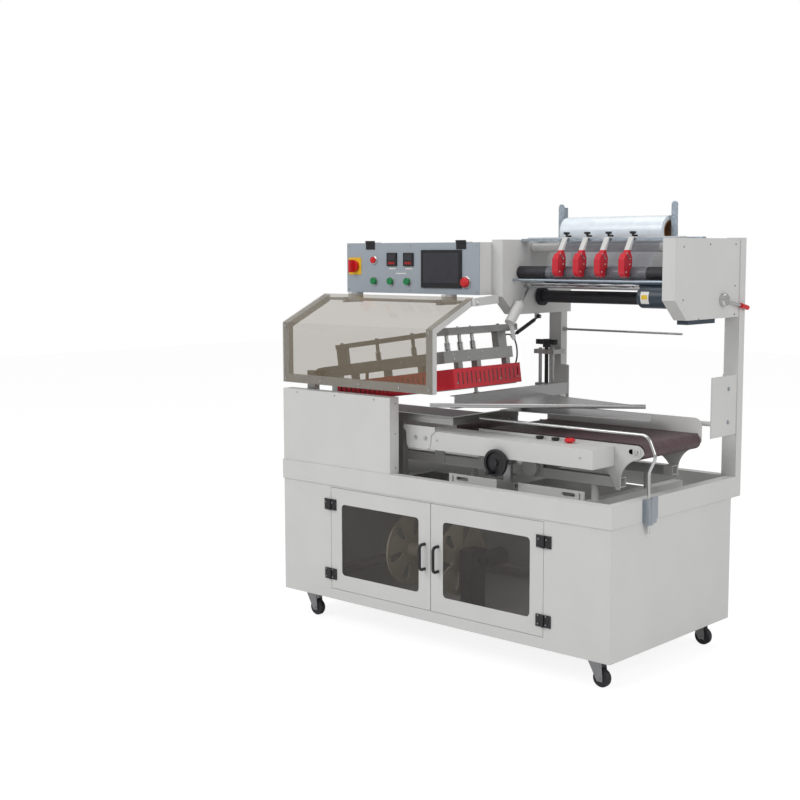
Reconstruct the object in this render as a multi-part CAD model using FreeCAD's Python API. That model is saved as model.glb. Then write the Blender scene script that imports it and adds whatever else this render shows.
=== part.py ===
import FreeCAD, Part
import math
import os

# Automatic L-bar sealer. Millimetres, X along the front from left to right, Y to the back, Z up from the floor.
# The driving sizes come first, then one function per sub-part, then the list of nodes that is written out.

V = FreeCAD.Vector
X_AXIS, Y_AXIS, Z_AXIS = V(1, 0, 0), V(0, 1, 0), V(0, 0, 1)

# ---- cabinet and frame ----
cabinet_length = 1600.0
cabinet_depth = 804.0
caster_height = 108.0
plinth_height = 42.0
door_zone_height = 420.0
sheet = 2.0
panel_fold = 18.0
rim_height = 78.0
rim_width = 40.0
rim_proud = 4.0
rim_back_overhang = 64.0
cross_height = 40.0
left_cross_inset = 7.0     # from the left column's outer side to the wide cross tube
left_cross_width = 80.0
right_cross_from_end = 260.0
right_cross_width = 40.0
deck_thickness = 5.0
film_slot_length = 220.0   # the hole in the deck that the waste film goes down through
film_slot_width = 200.0
film_slot_front = 160.0
film_slot_from_cross = 22.0
bracket_plate_width = 182.0
bracket_plate_bottom = 810.0
bracket_plate_top = 1034.0
bracket_plate_thickness = 5.0
bracket_shaft_radius = 9.0
bracket_shaft_length = 195.0
bracket_shaft_z = 862.0
scale_plate_top = 1030.0
scale_plate_bottom = 882.0
scale_arm_bottom = 922.0
scale_plate_width = 26.0
scale_thickness = 4.0
tube_wall = 3.0
column_width = 60.0
column_depth = 41.0
left_column_x = 735.0
column_top = 1540.0
seat_gap = 0.3           # between curved or moving faces that only pass each other
running_clearance = 0.05

plinth_top = caster_height + plinth_height
rim_bottom = plinth_top + door_zone_height
rim_top = rim_bottom + rim_height
deck_z = rim_bottom + cross_height
rim_right = cabinet_length + rim_proud
rim_back = cabinet_depth + rim_back_overhang
column_face = rim_back - column_depth
right_column_x = rim_right - column_width
bracket_plate_x = rim_right - bracket_plate_thickness - rim_proud
bracket_plate_front = column_face - bracket_plate_width
left_cross_x = left_column_x + left_cross_inset
right_cross_x = cabinet_length - right_cross_from_end

# ---- doors ----
door_side_margin = 272.0
door_right_margin = 278.0
door_gap = 1.5
door_top_gap = 9.0
window_side_margin = 58.5
window_height = 286.0
window_radius = 16.0
pane_thickness = 3.0
pane_lap = 14.0
hinge_leaf_width = 30.0
hinge_leaf_height = 44.0
hinge_leaf_thickness = 4.0
hinge_barrel_radius = 5.0
hinge_pin_radius = 2.5
hinge_inset = 78.0
door_handle_length = 107.0
door_handle_reach = 36.0
door_handle_radius = 6.0
door_handle_inset = 28.0
door_handle_foot = 11.0

# ---- casters ----
caster_inset_x = 98.0
caster_front_y = 70.0
caster_back_inset = 48.0
wheel_radius = 33.0
wheel_width = 24.0
wheel_axle_radius = 4.0
caster_trail = 22.0
fork_plate = 3.0
fork_gap = 2.0
caster_plate_size = 84.0
caster_plate_thickness = 4.0

# ---- waste film reel ----
reel_y = 250.0
reel_z = 302.0
reel_left_x = 475.0
reel_spacing = 258.0
reel_radius = 146.0
reel_disc_thickness = 8.0
reel_hub_radius = 30.0
reel_shaft_radius = 12.0
reel_stub = 70.0
reel_petals = 6
petal_inner = 52.0
petal_length = 58.0
petal_inner_radius = 9.0
petal_outer_radius = 19.0

# ---- front housing ----
housing_length = 594.0
housing_height = 294.0
housing_return = 50.0

# ---- sealing jaw ----
pivot_x = 100.0
pivot_z = 990.0
jaw_open_angle = 8.3
jaw_front_y = 104.0
beam_width = 40.0
beam_height = 44.0
beam_drop = 12.0          # pivot height above the underside of the beams
jaw_reach = 722.0         # pivot to the far side of the cross beam
cross_beam_start = 62.0
cross_beam_short = 140.0   # how far the cross beam stops before the belt's back edge
upper_bar_height = 18.0
upper_bar_gap = 64.0
upper_plate_width = 62.0
upper_plate_start = 92.0
cover_height = 77.0
cover_gap = 24.0
cover_width = 46.0
cover_short = 106.0        # the same for the slotted cover
cover_start_x = 205.0
slot_pitch = 26.0
slot_width = 7.0
slot_height = 44.0
seal_bar_width = 22.0
seal_bar_height = 74.0
seal_blade_width = 5.0
seal_blade_height = 8.0
pad_height = 6.0
lower_bar_height = 22.0
lower_bar_width = 34.0
jaw_pin_radius = 12.0
push_rod_x = 322.0
push_rod_y = 162.0
clamp_rod_x = 757.0
clamp_rod_y = 305.0
clamp_rod_bottom = 850.0
push_rod_radius = 7.0
push_rod_length = 250.0
crosspin_radius = 5.0
cylinder_radius = 22.0
cylinder_top = 800.0

# ---- belt conveyors ----
belt_top = 829.0
belt_thickness = 3.0
belt_front_y = 240.0
belt_side_margin = 428.0   # cabinet depth that the belt leaves free, front and back together
nose_roller_radius = 25.0
nose_from_end = 54.0
infeed_start_x = 862.0
outfeed_end_x = 730.0
outfeed_start_x = 30.0
conveyor_lift = 25.0
belt_side_gap = 4.0
side_plate = 4.0
cover_front_y = 100.0
cover_top_z = 815.0
cover_drop = 70.0
cover_left_x = 640.0
cover_right_from_nose = 93.0
guard_plate_top = 886.0
guard_plate_start = 880.0
support_tube = 36.0
support_tube_z = 668.0
handwheel_x = 1042.0
handwheel_z = 730.0
handwheel_radius = 50.0
left_jack_from_column = 65.0
right_jack_from_end = 240.0
jack_radius = 7.0
jack_sleeve_radius = 14.0
jack_engagement = 50.0
base_plate_y = 142.0
base_plate_x0 = 770.0
base_plate_from_nose = 156.0
base_plate_thickness = 5.0
base_top = 656.0
drive_x = 1100.0
drive_disc_radius = 34.0
drive_motor_radius = 30.0
drive_motor_length = 150.0
drive_z = 704.0

# ---- film former ----
former_rail_x = 838.0
former_rail_width = 24.0
former_rail_bottom = 915.0
former_rail_height = 48.0
former_rail_start = 66.0
former_bar_radius = 8.0
former_bar_z = 930.0
former_bar_x = 801.0
former_bar_y = -5.0
former_tip_from_end = 176.0
former_tip_short = 138.0   # the tip's distance before the belt's back edge
former_back_reach = 63.0
former_sheet = 3.0
former_drop = 43.0
guide_rod_radius = 7.0
guide_spacing = 64.0
guide_from_back = 100.0
guide_top_z = 1076.0
guide_block_half = 50.0
screw_radius = 8.0
former_travel = 30.0

# ---- film unit ----
box_width = 52.0
box_from_column = 55.0     # the left side box starts this far right of the left column's outer side
box_depth = 454.0
box_bottom = 1250.0
box_chamfer_depth = 81.0
box_chamfer_z = 1322.0
box_wall = 3.0
bearing_radius = 17.0
bearing_length = 17.0
roller_end_gap = 3.0
rubber_roller_inset = 110.0    # rollers and bars are placed from the front edge of the side boxes
rubber_roller_z = 1413.0
rubber_roller_radius = 25.0
drive_roller_inset = 239.0
drive_roller_z = 1318.0
drive_roller_radius = 24.0
drive_pulley_radius = 37.0
drive_pulley_width = 14.0
steel_roller_inset = 295.0
steel_roller_z = 1376.0
steel_roller_radius = 22.0
cradle_inset = 193.0
cradle_spacing = 94.0
cradle_z = 1508.0
cradle_radius = 17.0
roll_radius = 58.0
core_radius = 42.0
core_wall = 6.0
roll_left_gap = 135.0
roll_right_gap = 118.0
roller_stub_radius = 9.0
roller_stub_length = 20.0
bar_inset = 117.0
bar_z = 1543.0
bar_thickness = 10.0
bar_depth = 40.0
back_sheet_bottom = 1340.0
tie_rod_inset = 67.0
tie_rod_z = 1385.0
tie_rod_radius = 5.0
upright_width = 26.0
upright_height = 130.0
upright_sheet = 3.0
dancer_inset = 142.0
dancer_z = 1360.0
dancer_shaft_radius = 7.0
dancer_arm = 30.0
dancer_arm_angle = 20.0
weight_radius = 20.0
weight_length = 96.0
weight_start = 92.0
weight_angle = 48.0

film_motor_length = 134.0
film_motor_radius = 40.0
film_motor_inset = 77.0
film_motor_z = 1330.0
gearbox_inset = 97.0
gearbox_depth = 190.0
gearbox_drop = 16.0
damper_pin_radius = 4.0
damper_pin_inset = 226.0
damper_pin_drop = 12.0
lever_inset = 331.0
lever_z = 1317.0
lever_stub_radius = 8.0
lever_reach = 166.0
lever_drop = 34.0
film_rod_z = 1175.0
film_rod_radius = 4.5
film_rod_from_column = 193.0

# ---- perforators ----
perforator_places = (0.302, 0.435, 0.569, 0.718)   # along the flat bar, as parts of its length
perforator_width = 26.0
perforator_guard_radius = 31.0
perforator_wheel_radius = 17.0
perforator_wheel_rise = 12.0
perforator_pivot_back = 15.0
perforator_eye_radius = 5.0
perforator_strap = 5.0

# ---- guard hood ----
guard_length = 806.0
guard_bottom = 968.0
guard_shoulder = 1212.0
guard_hinge_z = 1322.0
guard_hinge_drop = 20.0
guard_frame_share = 0.75
guard_bar = 32.0
acrylic = 4.0
guard_rod_radius = 6.0

# ---- control box ----
control_left_x = 80.0
control_gap = 1.0
control_bottom = 1328.0
control_top = 1530.0
control_panel_thickness = 4.0
control_from_box = 73.0
guard_from_control = 60.0

# ---- product guide rod ----
product_rod_radius = 5.5
guide_rod_from_rim = 8.0
guide_rod_y = 207.0
guide_rod_z = 868.0
guide_rod_start = 868.0
guide_rod_bottom = 529.0
clamp_top = 650.0
clamp_height = 92.0
clamp_half_width = 14.0
clamp_flange = 62.0
clamp_sheet = 3.0

# ---- places that follow from the sizes above ----
door_right_edge = cabinet_length - door_right_margin
caster_back_y = cabinet_depth - caster_back_inset
belt_width = cabinet_depth - belt_side_margin
belt_back_y = belt_front_y + belt_width
cross_beam_end = belt_back_y - cross_beam_short
cover_end = belt_back_y - cover_short
nose_x = cabinet_length - nose_from_end
cover_right_x = nose_x - cover_right_from_nose
jack_xs = (left_column_x + left_jack_from_column, cabinet_length - right_jack_from_end)
base_plate_x1 = nose_x - base_plate_from_nose
guide_y = rim_back - guide_from_back
former_rail_end = guide_y + 16.0
former_tip_x = cabinet_length - former_tip_from_end
former_tip_y = belt_back_y - former_tip_short
left_box_x = left_column_x + box_from_column
right_box_x = rim_right - box_width - rim_proud
box_back_y = column_face
box_front_y = box_back_y - box_depth
box_chamfer_y = box_front_y + box_chamfer_depth
film_x0 = left_box_x + box_width
film_x1 = right_box_x
roll_start_x = film_x0 + roll_left_gap
roll_length = film_x1 - roll_right_gap - roll_start_x
rubber_roller_y = box_front_y + rubber_roller_inset
drive_roller_y = box_front_y + drive_roller_inset
steel_roller_y = box_front_y + steel_roller_inset
cradle_front_y = box_front_y + cradle_inset
bar_y = box_front_y + bar_inset
dancer_y = box_front_y + dancer_inset
film_motor_y = box_front_y + film_motor_inset
damper_pin_y = box_front_y + damper_pin_inset
lever_y = box_front_y + lever_inset
perforator_x = [film_x0 + place * (film_x1 - film_x0) for place in perforator_places]
perforator_pivot_y = bar_y + perforator_pivot_back
perforator_pivot_z = bar_z + seat_gap + perforator_strap + 1.7
control_right_x = left_box_x - control_gap
control_front_y = box_front_y - control_from_box
guard_hinge_y = control_front_y - guard_from_control
guide_rod_x = rim_right + guide_rod_from_rim
cradle_top_z = column_top + 6.0


# ---------- helpers ----------
def box(x0, x1, y0, y1, z0, z1):
    return Part.makeBox(x1 - x0, y1 - y0, z1 - z0, V(x0, y0, z0))


def cylinder(start, direction, radius, length):
    return Part.makeCylinder(radius, length, V(*start), direction)


def ring(start, direction, outer, inner, length):
    return cylinder(start, direction, outer, length).cut(cylinder(start, direction, inner, length))


def prism(points, normal, offset, thickness):
    """A closed outline given in the plane across the normal axis, pushed along that axis from offset."""
    if normal == "x":
        corners = [V(offset, a, b) for a, b in points]
        push = V(thickness, 0, 0)
    elif normal == "y":
        corners = [V(a, offset, b) for a, b in points]
        push = V(0, thickness, 0)
    else:
        corners = [V(a, b, offset) for a, b in points]
        push = V(0, 0, thickness)
    return Part.Face(Part.makePolygon(corners + corners[:1])).extrude(push)


def tube_bar(x0, x1, y0, y1, z0, z1, along):
    """A rectangular tube, open at both ends along the named axis."""
    w = tube_wall
    inner = {
        "x": (x0, x1, y0 + w, y1 - w, z0 + w, z1 - w),
        "y": (x0 + w, x1 - w, y0, y1, z0 + w, z1 - w),
        "z": (x0 + w, x1 - w, y0 + w, y1 - w, z0, z1),
    }[along]
    return box(x0, x1, y0, y1, z0, z1).cut(box(*inner))


def tray(x0, x1, y0, y1, z0, z1, open_side):
    """A folded sheet-metal tray: walls all round, open towards one side such as "+y"."""
    low, high = [x0 + sheet, y0 + sheet, z0 + sheet], [x1 - sheet, y1 - sheet, z1 - sheet]
    axis = "xyz".index(open_side[1])
    if open_side[0] == "+":
        high[axis] = (x1, y1, z1)[axis]
    else:
        low[axis] = (x0, y0, z0)[axis]
    return box(x0, x1, y0, y1, z0, z1).cut(box(low[0], high[0], low[1], high[1], low[2], high[2]))


def slot_along_x(x0, x1, y, thickness, z, radius):
    """A slot with round ends, cut through a plate that faces front."""
    middle = box(x0 + radius, x1 - radius, y, y + thickness, z - radius, z + radius)
    ends = [cylinder((x, y, z), Y_AXIS, radius, thickness) for x in (x0 + radius, x1 - radius)]
    return fused([middle] + ends)


def group(shapes):
    solids = []
    for shape in shapes:
        solids.extend(shape.Solids)
    return Part.makeCompound(solids)


def fused(shapes):
    return shapes[0].fuse(shapes[1:]).removeSplitter()


def rounded_rectangle(x0, x1, z0, z1, radius, y, thickness):
    block = box(x0, x1, y, y + thickness, z0, z1)
    upright = [e for e in block.Edges if abs(e.tangentAt(e.FirstParameter).y) > 0.99]
    return block.makeFillet(radius, upright)


def axle_run(x0, x1, y, z, body_radius, stub_radius, stub_length):
    """A roller along X with a thinner stub at each end, turned as one solid."""
    profile = [
        V(x0, 0, 0), V(x0, stub_radius, 0), V(x0 + stub_length, stub_radius, 0),
        V(x0 + stub_length, body_radius, 0), V(x1 - stub_length, body_radius, 0),
        V(x1 - stub_length, stub_radius, 0), V(x1, stub_radius, 0), V(x1, 0, 0),
    ]
    roller = Part.Face(Part.makePolygon(profile + profile[:1])).revolve(V(0, 0, 0), X_AXIS, 360)
    roller.translate(V(0, y, z))
    return roller


def turned(profile, base, axis):
    """A solid of revolution: profile holds (radius, distance along the axis) pairs."""
    points = [V(r, 0, d) for r, d in profile]
    solid = Part.Face(Part.makePolygon(points + points[:1])).revolve(V(0, 0, 0), Z_AXIS, 360)
    solid.Placement = FreeCAD.Placement(V(*base), FreeCAD.Rotation(Z_AXIS, axis))
    return solid


# ---------- cabinet ----------
door_bottom = plinth_top
door_top = rim_bottom - door_top_gap
door_middle = (door_side_margin + door_right_edge) / 2 + 3
door_spans = [
    (door_side_margin + door_gap, door_middle - door_gap),
    (door_middle + door_gap, door_right_edge - door_gap),
]


def folded_panel(x0, x1, y0, z0, z1):
    """A sheet-metal panel facing forward, with its edges folded back."""
    return tray(x0, x1, y0, y0 + panel_fold, z0, z1, "+y")


def cabinet():
    length, depth = cabinet_length, cabinet_depth
    rail = plinth_height
    solids = [
        tray(0, length, 0, rail, caster_height + sheet, plinth_top, "+y"),
        tray(0, length, depth - rail, depth, caster_height + sheet, plinth_top, "-y"),
        tray(0, rail, rail, depth - rail, caster_height + sheet, plinth_top, "+x"),
        tray(length - rail, length, rail, depth - rail, caster_height + sheet, plinth_top, "-x"),
        box(0, length, 0, depth, caster_height, caster_height + sheet),
        folded_panel(0, door_side_margin, 0, plinth_top, rim_bottom),
        folded_panel(door_right_edge, length, 0, plinth_top, rim_bottom),
        box(door_side_margin, door_right_edge, 0, panel_fold, door_top + door_gap, rim_bottom),
        box(0, sheet, panel_fold, depth - sheet, plinth_top, rim_bottom),
        box(length - sheet, length, panel_fold, depth - sheet, plinth_top, rim_bottom),
        box(0, length, depth - sheet, depth, plinth_top, rim_bottom),
    ]
    inner0, inner1 = rim_width - rim_proud, rim_back - rim_width
    for x0, width in ((left_cross_x, left_cross_width), (right_cross_x, right_cross_width)):
        solids.append(tube_bar(x0, x0 + width, inner0, inner1, rim_bottom, deck_z, "y"))
    deck = box(inner0, left_cross_x, inner0, inner1, deck_z - deck_thickness, deck_z)
    slot_end = left_cross_x - film_slot_from_cross
    film_slot = box(slot_end - film_slot_length, slot_end, film_slot_front, film_slot_front + film_slot_width,
                    rim_bottom, rim_top)
    solids.append(deck.cut(film_slot))
    return group(solids)


def main_frame():
    """The welded frame: rim tubes, the two rear columns and the brackets they carry."""
    left, front = -rim_proud, -rim_proud
    solids = [
        tube_bar(left, rim_right, front, front + rim_width, rim_bottom, rim_top, "x"),
        tube_bar(left, rim_right, rim_back - rim_width, rim_back, rim_bottom, rim_top, "x"),
        tube_bar(left, left + rim_width, front + rim_width, rim_back - rim_width, rim_bottom, rim_top, "y"),
        tube_bar(rim_right - rim_width, rim_right, front + rim_width, rim_back - rim_width,
                 rim_bottom, rim_top, "y"),
    ]
    w = tube_wall
    for x0 in (left, rim_right - w):
        for y0 in (front, rim_back - rim_width):
            solids.append(box(x0, x0 + w, y0 + w, y0 + rim_width - w, rim_bottom + w, rim_top - w))
    for x0 in (left_column_x, right_column_x):
        solids.append(tube_bar(x0, x0 + column_width, column_face, rim_back, rim_top, column_top, "z"))
        solids.append(box(x0, x0 + column_width, column_face, rim_back, column_top, column_top + tube_wall))
    t = bracket_plate_thickness
    plate = box(bracket_plate_x, bracket_plate_x + t, bracket_plate_front, column_face,
                bracket_plate_bottom, bracket_plate_top)
    flange = box(right_column_x, bracket_plate_x, column_face - t, column_face,
                 bracket_plate_bottom, bracket_plate_top)
    solids.extend([plate, flange])
    near = left_column_x + column_width
    middle, far = near + scale_plate_width, near + 2 * scale_plate_width
    lean = 0.7 * scale_plate_width
    solids.append(box(near, middle, column_face, column_face + scale_thickness, scale_arm_bottom, scale_plate_top))
    solids.append(prism([(middle, column_face), (far, column_face - lean),
                         (far, column_face - lean + scale_thickness), (middle, column_face + scale_thickness)],
                        "z", scale_plate_bottom, scale_plate_top - scale_plate_bottom))
    solids.extend(conveyor_base().Solids)
    solids.extend(rod_clamp().Solids)
    return group(solids)


# ---------- bent product guide rod and its clamp ----------
def rod_clamp():
    """A zinc flange on the right rim with a slit block that grips the guide rod."""
    face = rim_right
    reach = guide_rod_x - face
    low, half = clamp_top - clamp_height, clamp_half_width
    bore = cylinder((guide_rod_x, guide_rod_y, low - 1), Z_AXIS, product_rod_radius + running_clearance,
                    clamp_height + 2)
    flange = box(face, face + clamp_sheet, guide_rod_y - half, guide_rod_y + clamp_flange, low, clamp_top)
    outer = guide_rod_x + reach + clamp_sheet
    block = box(face + clamp_sheet, outer, guide_rod_y - half, guide_rod_y + half, low, clamp_top)
    slit = box(guide_rod_x, outer + 1, guide_rod_y - 1, guide_rod_y + 1, low - 1, clamp_top + 1)
    return group([fused([flange.cut(bore), block.cut([bore, slit])])])


def bent_rod():
    """A round rod over the front edge of the belt that dips round the belt's nose to its clamp."""
    r = product_rod_radius
    y = guide_rod_y
    points = [
        V(guide_rod_start, y, guide_rod_z), V(guide_rod_x - 6, y, guide_rod_z),
        V(guide_rod_x + 26, y, guide_rod_z - 74), V(guide_rod_x, y, guide_rod_z - 126),
        V(guide_rod_x, y, guide_rod_bottom),
    ]
    radii = [40.0, 34.0, 42.0]
    edges = []
    last = points[0]
    for k, radius in enumerate(radii):
        before, corner, after = points[k], points[k + 1], points[k + 2]
        a = (before - corner).normalize()
        b = (after - corner).normalize()
        half = math.acos(max(-1.0, min(1.0, a.dot(b)))) / 2
        reach = radius / math.tan(half)
        start, end = corner + a * reach, corner + b * reach
        middle = corner + (a + b).normalize() * (radius / math.sin(half) - radius)
        edges.append(Part.LineSegment(last, start).toShape())
        edges.append(Part.Arc(start, middle, end).toShape())
        last = end
    edges.append(Part.LineSegment(last, points[-1]).toShape())
    path = Part.Wire(edges)
    ring_wire = Part.Wire([Part.Circle(points[0], X_AXIS, r).toShape()])
    return path.makePipeShell([ring_wire], True, False)


# ---------- doors ----------
hinge_axis_y = -hinge_barrel_radius - 1.0
hinge_heights = (plinth_top + hinge_inset - 18, rim_bottom - hinge_inset)
hinge_xs = (door_side_margin - 1.0, door_right_edge + 1.0)


def hinge_leaf(axis_x, side, z_mid, half):
    """One leaf of a butt hinge: side is -1 or 1, half says which half of the barrel it carries."""
    h = hinge_leaf_height / 2
    near = axis_x + side * (1.0 + running_clearance)
    far = axis_x + side * (hinge_leaf_width + 2)
    leaf = box(min(near, far), max(near, far), -hinge_leaf_thickness, 0, z_mid - h, z_mid + h)
    z0, z1 = (z_mid - h, z_mid - seat_gap / 2) if half < 0 else (z_mid + seat_gap / 2, z_mid + h)
    other = (z_mid - seat_gap / 2, z_mid + h) if half < 0 else (z_mid - h, z_mid + seat_gap / 2)
    keep_clear = cylinder((axis_x, hinge_axis_y, other[0]), Z_AXIS,
                          hinge_barrel_radius + seat_gap, other[1] - other[0])
    barrel = cylinder((axis_x, hinge_axis_y, z0), Z_AXIS, hinge_barrel_radius, z1 - z0)
    return fused([leaf.cut(keep_clear), barrel])


def door_hinges():
    """The fixed leaves with their pins."""
    solids = []
    for axis_x, side in zip(hinge_xs, (-1, 1)):
        for z_mid in hinge_heights:
            leaf = hinge_leaf(axis_x, side, z_mid, -1)
            pin = cylinder((axis_x, hinge_axis_y, z_mid - 2), Z_AXIS, hinge_pin_radius,
                           hinge_leaf_height / 2 + 2)
            solids.append(fused([leaf, pin]))
    return group(solids)


def window_span(door):
    x0, x1 = door_spans[door]
    z_mid = (door_bottom + door_top) / 2
    return (x0 + window_side_margin, x1 - window_side_margin,
            z_mid - window_height / 2, z_mid + window_height / 2)


def door(index):
    x0, x1 = door_spans[index]
    skin = folded_panel(x0, x1, 0, door_bottom + door_gap, door_top)
    wx0, wx1, wz0, wz1 = window_span(index)
    hole = rounded_rectangle(wx0, wx1, wz0, wz1, window_radius, -1, sheet + 2)
    return skin.cut(hole)


def door_window(index):
    wx0, wx1, wz0, wz1 = window_span(index)
    return box(wx0 - pane_lap, wx1 + pane_lap, sheet, sheet + pane_thickness, wz0 - pane_lap, wz1 + pane_lap)


def door_fittings(index):
    """The D handle and the two moving hinge leaves of one door."""
    side = (1, -1)[index]
    solids = []
    for z_mid in hinge_heights:
        leaf = hinge_leaf(hinge_xs[index], side, z_mid, 1)
        bore = cylinder((hinge_xs[index], hinge_axis_y, z_mid - 1), Z_AXIS,
                        hinge_pin_radius + running_clearance, hinge_leaf_height)
        solids.append(leaf.cut(bore))
    x = door_spans[0][1] - door_handle_inset if index == 0 else door_spans[1][0] + door_handle_inset + 8
    z_mid = (door_bottom + door_top) / 2
    r = door_handle_radius
    half = door_handle_length / 2 - r
    bend = 14.0
    y = -door_handle_reach + r
    line = Part.LineSegment
    corner = bend * (1 - math.sqrt(0.5))
    path = Part.Wire([
        line(V(x, 0, z_mid - half), V(x, y + bend, z_mid - half)).toShape(),
        Part.Arc(V(x, y + bend, z_mid - half), V(x, y + corner, z_mid - half + corner),
                 V(x, y, z_mid - half + bend)).toShape(),
        line(V(x, y, z_mid - half + bend), V(x, y, z_mid + half - bend)).toShape(),
        Part.Arc(V(x, y, z_mid + half - bend), V(x, y + corner, z_mid + half - corner),
                 V(x, y + bend, z_mid + half)).toShape(),
        line(V(x, y + bend, z_mid + half), V(x, 0, z_mid + half)).toShape(),
    ])
    section = Part.Wire([Part.Circle(V(x, 0, z_mid - half), Y_AXIS, r).toShape()])
    solids.append(path.makePipeShell([section], True, False))
    return group(solids)


# ---------- casters ----------
caster_points = [(x, y)
                 for y in (caster_front_y, caster_back_y)
                 for x in (caster_inset_x, cabinet_length - caster_inset_x)]
wheel_centre_z = wheel_radius
fork_top = caster_height - caster_plate_thickness - 6.0


def caster_fork(point):
    """A swivel fork under its mounting plate, trailing to the right."""
    x, y = point
    half = wheel_width / 2 + fork_gap
    wheel_x = x + caster_trail
    r = 11.0
    outline = [(wheel_x - r, wheel_centre_z - r), (wheel_x + r, wheel_centre_z - r),
               (wheel_x + r, wheel_centre_z + r), (x + 26, fork_top - fork_plate),
               (x + 26, fork_top), (x - 26, fork_top), (x - 26, fork_top - fork_plate - 8)]
    arms = [prism(outline, "y", y - half - fork_plate, fork_plate), prism(outline, "y", y + half, fork_plate)]
    crown = box(x - 26, x + 26, y - half, y + half, fork_top - fork_plate, fork_top)
    swivel = cylinder((x, y, fork_top), Z_AXIS, 19, caster_height - caster_plate_thickness - fork_top - seat_gap)
    axle = cylinder((wheel_x, y - half - fork_plate - 3, wheel_centre_z), Y_AXIS, wheel_axle_radius,
                    2 * (half + fork_plate + 3))
    return fused(arms + [crown, swivel, axle])


def caster_wheel(point):
    x, y = point
    profile = [
        (wheel_axle_radius + running_clearance, -wheel_width / 2), (wheel_radius - 3, -wheel_width / 2),
        (wheel_radius, -wheel_width / 2 + 5), (wheel_radius, wheel_width / 2 - 5),
        (wheel_radius - 3, wheel_width / 2), (wheel_axle_radius + running_clearance, wheel_width / 2),
    ]
    return turned(profile, (x + caster_trail, y, wheel_centre_z), Y_AXIS)


def caster_plates():
    half = caster_plate_size / 2
    return [box(x - half, x + half, y - half, y + half, caster_height - caster_plate_thickness, caster_height)
            for x, y in caster_points]


# ---------- waste film reel and its drive ----------
def reel_disc(x0):
    disc = cylinder((x0, reel_y, reel_z), X_AXIS, reel_radius, reel_disc_thickness)
    cutters = []
    for k in range(reel_petals):
        angle = 360.0 / reel_petals * k + 12
        r0 = petal_inner + petal_inner_radius
        r1 = petal_inner + petal_length
        slope = math.asin((petal_outer_radius - petal_inner_radius) / (r1 - r0))
        s, c = math.sin(slope), math.cos(slope)
        tip = petal_inner_radius
        end = petal_outer_radius
        a, b = V(0, r0 - tip * s, tip * c), V(0, r1 - end * s, end * c)
        a2, b2 = V(0, r0 - tip * s, -tip * c), V(0, r1 - end * s, -end * c)
        wire = Part.Wire([
            Part.LineSegment(a, b).toShape(), Part.Arc(b, V(0, r1 + end, 0), b2).toShape(),
            Part.LineSegment(b2, a2).toShape(), Part.Arc(a2, V(0, r0 - tip, 0), a).toShape(),
        ])
        petal = Part.Face(wire).extrude(V(reel_disc_thickness + 2, 0, 0))
        petal.rotate(V(0, 0, 0), X_AXIS, angle)
        petal.translate(V(x0 - 1, reel_y, reel_z))
        cutters.append(petal)
    return disc.cut(cutters)


def waste_reel():
    """Two petal discs on a shaft, the right one carried close to the gearmotor."""
    x1 = reel_left_x + reel_spacing
    shaft = cylinder((reel_left_x - 6, reel_y, reel_z), X_AXIS, reel_shaft_radius,
                     reel_spacing + reel_disc_thickness + 6 + reel_stub)
    core = cylinder((reel_left_x + reel_disc_thickness, reel_y, reel_z), X_AXIS, reel_hub_radius,
                    reel_spacing - reel_disc_thickness)
    return fused([reel_disc(reel_left_x), reel_disc(x1), shaft, core])


def gearmotors():
    """The reel's gearmotor on its stand, and the film unit's gearmotor inside the right side box."""
    x = reel_left_x + reel_spacing + reel_disc_thickness + 30
    bore = cylinder((x - 5, reel_y, reel_z), X_AXIS, reel_shaft_radius + running_clearance, 160)
    housing = box(x, x + 60, reel_y - 45, reel_y + 45, reel_z - 55, reel_z + 45).cut(bore)
    motor = cylinder((x + 30, reel_y + 45, reel_z - 10), Y_AXIS, 38, 130)
    stand = box(x + 5, x + 55, reel_y - 45, reel_y + 45, caster_height + sheet, reel_z - 55)
    length, r = film_motor_length, film_motor_radius
    body = turned([(0, 0), (r - 8, 0), (r, 10), (r, length), (0, length)],
                  (film_x1 - length, film_motor_y, film_motor_z), X_AXIS)
    gearbox_front = box_front_y + gearbox_inset
    gearbox = box(right_box_x + 4, rim_right - 8, gearbox_front, gearbox_front + gearbox_depth,
                  box_bottom - gearbox_drop, box_bottom)
    return group([housing, motor, stand, body, gearbox])


# ---------- front housing ----------
def front_housing():
    """The folded cover in front of the sealing section, open at the back and the bottom."""
    z0, z1 = rim_top, rim_top + housing_height
    skin = tray(0, housing_length, 0, housing_return, z0, z1, "+y")
    return skin.cut(box(sheet, housing_length - sheet, sheet, housing_return, z0, z0 + sheet))


# ---------- sealing jaw ----------
beam_bottom = pivot_z - beam_drop
beam_top = beam_bottom + beam_height
cross_x0 = pivot_x + jaw_reach - beam_width
cross_x1 = pivot_x + jaw_reach
cover_top = beam_bottom - cover_gap
cover_bottom = cover_top - cover_height
seal_line_z = cover_bottom - 3.0
cover_side = (cover_width - beam_width) / 2
crosspin_z = beam_bottom + 14.0
crosspin_play = 1.0
stand_y = (62.0, 204.0)
stand_thickness = 26.0


def open_jaw(shape):
    """Turn a piece drawn with the jaw shut to where it stands at rest, raised about the pivot."""
    shape.rotate(V(pivot_x, 0, pivot_z), Y_AXIS, -jaw_open_angle)
    return shape


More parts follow.
